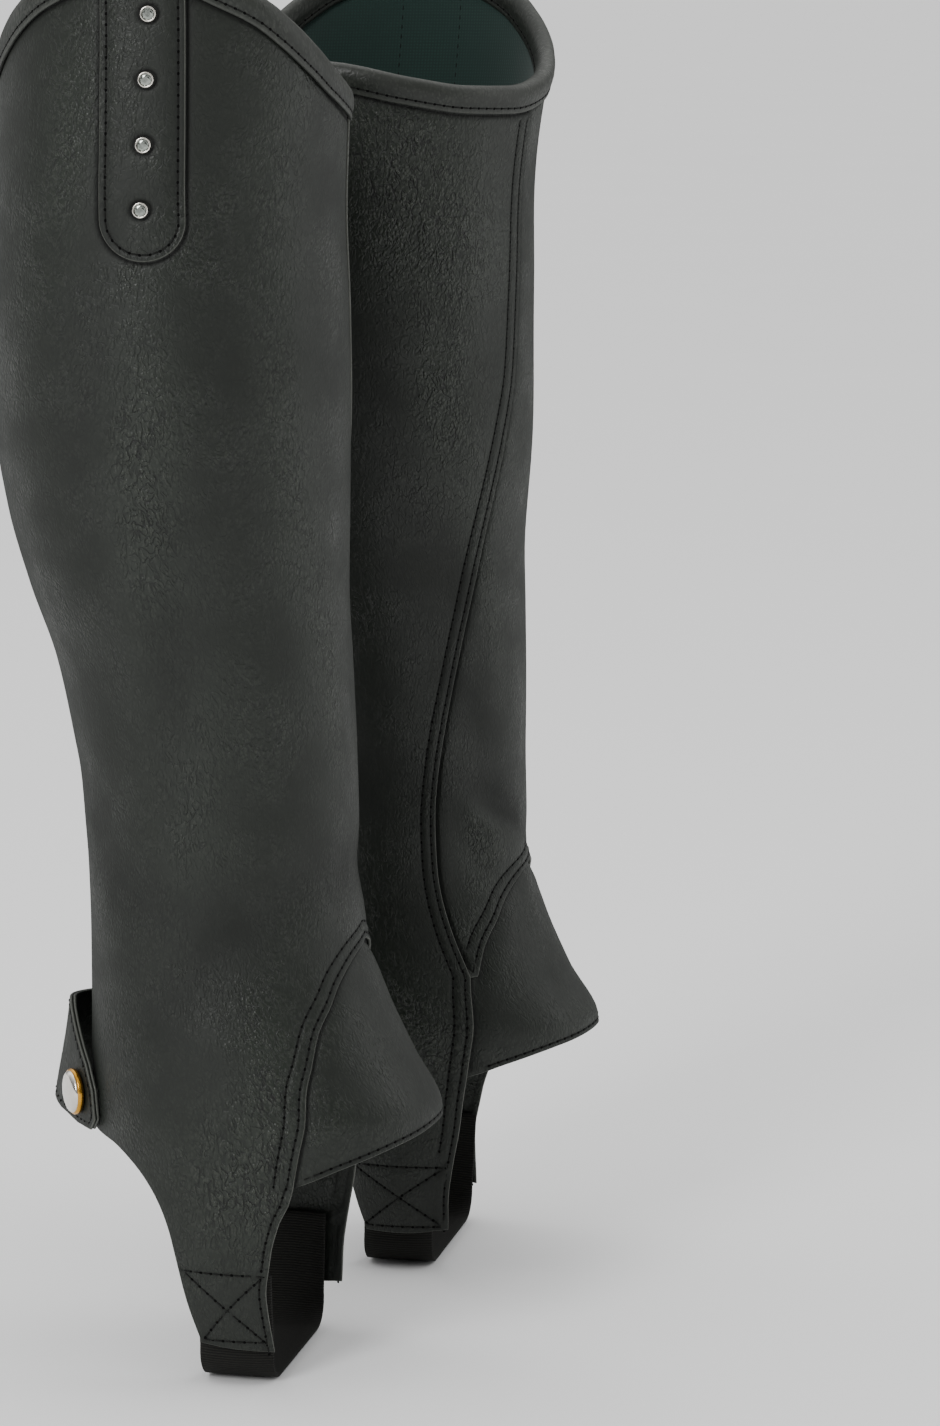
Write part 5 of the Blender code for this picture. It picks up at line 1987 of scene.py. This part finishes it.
@dataclass
class HalfChap:
    """One chap: every piece that lies on its leg."""

    leg: Leg
    stitching: Stitching = Stitching()

    def make(self, tree: NodeTree) -> None:
        """Builds the chap.

        Args:
            tree: The tree that sews its rows.
        """
        panels = Panels(self.leg)
        panels.make_outer()
        panels.make_inner()
        panels.make_flap()
        rows = panels.rows
        Lining(self.leg).make(rows)
        Binding(self.leg).make(rows)
        CrestTab(self.leg).make(rows)
        SnapTab(self.leg).make(rows)
        Zip(self.leg).make(rows)
        FootStrap(self.leg).make()
        sewn = repeated(f"{self.leg.name}_stitches", rows, tree, self.stitching.sizes())
        dress(sewn, "leather")


# ---- the studio ----
@dataclass(frozen=True)
class Lamp:
    """A soft box: where it stands, what it faces, and its size and power."""

    name: str
    place: tuple[float, float, float]
    target: tuple[float, float, float]
    width: float
    height: float
    watts: float

    def make(self) -> None:
        """Sets the lamp up."""
        light = bpy.data.lights.new(self.name, "AREA")
        light.shape = "RECTANGLE"
        light.size, light.size_y, light.energy = self.width, self.height, self.watts
        lamp = add_object(self.name, light)
        lamp.location = self.place
        way = Vector(self.target) - Vector(self.place)
        lamp.rotation_euler = way.to_track_quat("-Z", "Y").to_euler()


@dataclass(frozen=True)
class Studio:
    """A pale floor, soft light from all round, and the camera at the photograph's angle."""

    azimuth: float = 12.0
    drop: float = 762.0
    focal_px: float = 4510.0
    image_height: float = 1426.0
    sensor_mm: float = 36.0
    distance: float = 1.455
    aside: float = 0.0968
    rise: float = 0.137
    subject: tuple[float, float] = (-0.070, 0.015)
    floor_half: float = 120.0
    horizon: float = 0.16
    zenith: float = 1.95
    dim: float = 0.3
    under_sole: float = 0.0006
    lamps: tuple[Lamp, ...] = (
        Lamp("key", (-2.3, 0.75, 1.1), (0, 0, -0.05), 0.6, 1.5, 38.0),
        Lamp("rim_left", (0.9, 1.9, 0.4), (0, 0, -0.05), 0.8, 1.8, 3.0),
        Lamp("rim_right", (0.2, -2.0, 0.4), (0, 0, -0.05), 0.8, 1.8, 9.0),
    )

    def make(self) -> None:
        """Builds the floor, the sky, the lamps and the camera."""
        half = self.floor_half
        low = min(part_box(f"{leg.name}_foot_strap")[0][2] for leg in LEGS) - self.under_sole
        corners = np.array([(x * half, y * half, low)
                            for x, y in ((-1, -1), (1, -1), (1, 1), (-1, 1))])
        mesh_object("floor", corners, [(0, 1, 2, 3)], Finish.PAPER)
        self.make_sky()
        for lamp in self.lamps:
            lamp.make()
        self.aim()

    def make_sky(self) -> None:
        """Builds the soft light from all round: brighter above, dimmer behind the camera."""
        world = bpy.data.worlds.new("studio")
        world.use_nodes = True
        tree = world.node_tree
        way = add_node(tree, "ShaderNodeTexCoord").outputs["Generated"]
        up, ahead = (add_node(tree, "ShaderNodeSeparateXYZ", {"Vector": way}).outputs[axis]
                     for axis in ("Z", "X"))
        level = add_node(tree, "ShaderNodeMapRange", {"Value": up, "From Max": 0.9,
                         "To Min": self.horizon, "To Max": self.zenith})
        wall = add_node(tree, "ShaderNodeMapRange", {"Value": ahead, "From Min": -0.6,
                        "From Max": 0.2, "To Min": self.dim, "To Max": 1.0})
        level = add_node(tree, "ShaderNodeMath", {0: level, 1: wall}, operation="MULTIPLY")
        fill(tree, tree.nodes["Background"], {"Color": (1.0, 1.0, 1.0, 1.0), "Strength": level})
        bpy.context.scene.world = world

    def aim(self) -> None:
        """Sets the camera where the photograph was taken from."""
        angle, pitch = math.radians(self.azimuth), math.atan2(self.drop, self.focal_px)
        right = Vector((math.sin(angle), -math.cos(angle), 0.0))
        level = Vector((math.cos(angle), math.sin(angle), 0.0))
        ahead = level * math.cos(pitch) - Vector((0, 0, 1)) * math.sin(pitch)
        up = right.cross(ahead)
        data = bpy.data.cameras.new("camera")
        data.sensor_width = self.sensor_mm
        data.lens = self.sensor_mm * self.focal_px / self.image_height
        data.clip_end = 500.0
        camera = add_object("camera", data)
        turning = Matrix((right, up, -ahead)).transposed().to_4x4()
        place = Vector((*self.subject, self.rise)) - level * self.distance + right * self.aside
        camera.matrix_world = Matrix.Translation(place) @ turning
        bpy.context.scene.camera = camera


def main() -> None:
    """Builds the studio and both chaps."""
    logging.basicConfig(level=logging.INFO, format="%(message)s")
    Studio().make()
    tree = repeat_tree("stitch row", Stitching().sizes(), Finish.THREAD, False)
    for leg in LEGS:
        HalfChap(leg).make(tree)
        LOG.info("%s chap done", leg.name)


if __name__ == "__main__":
    main()
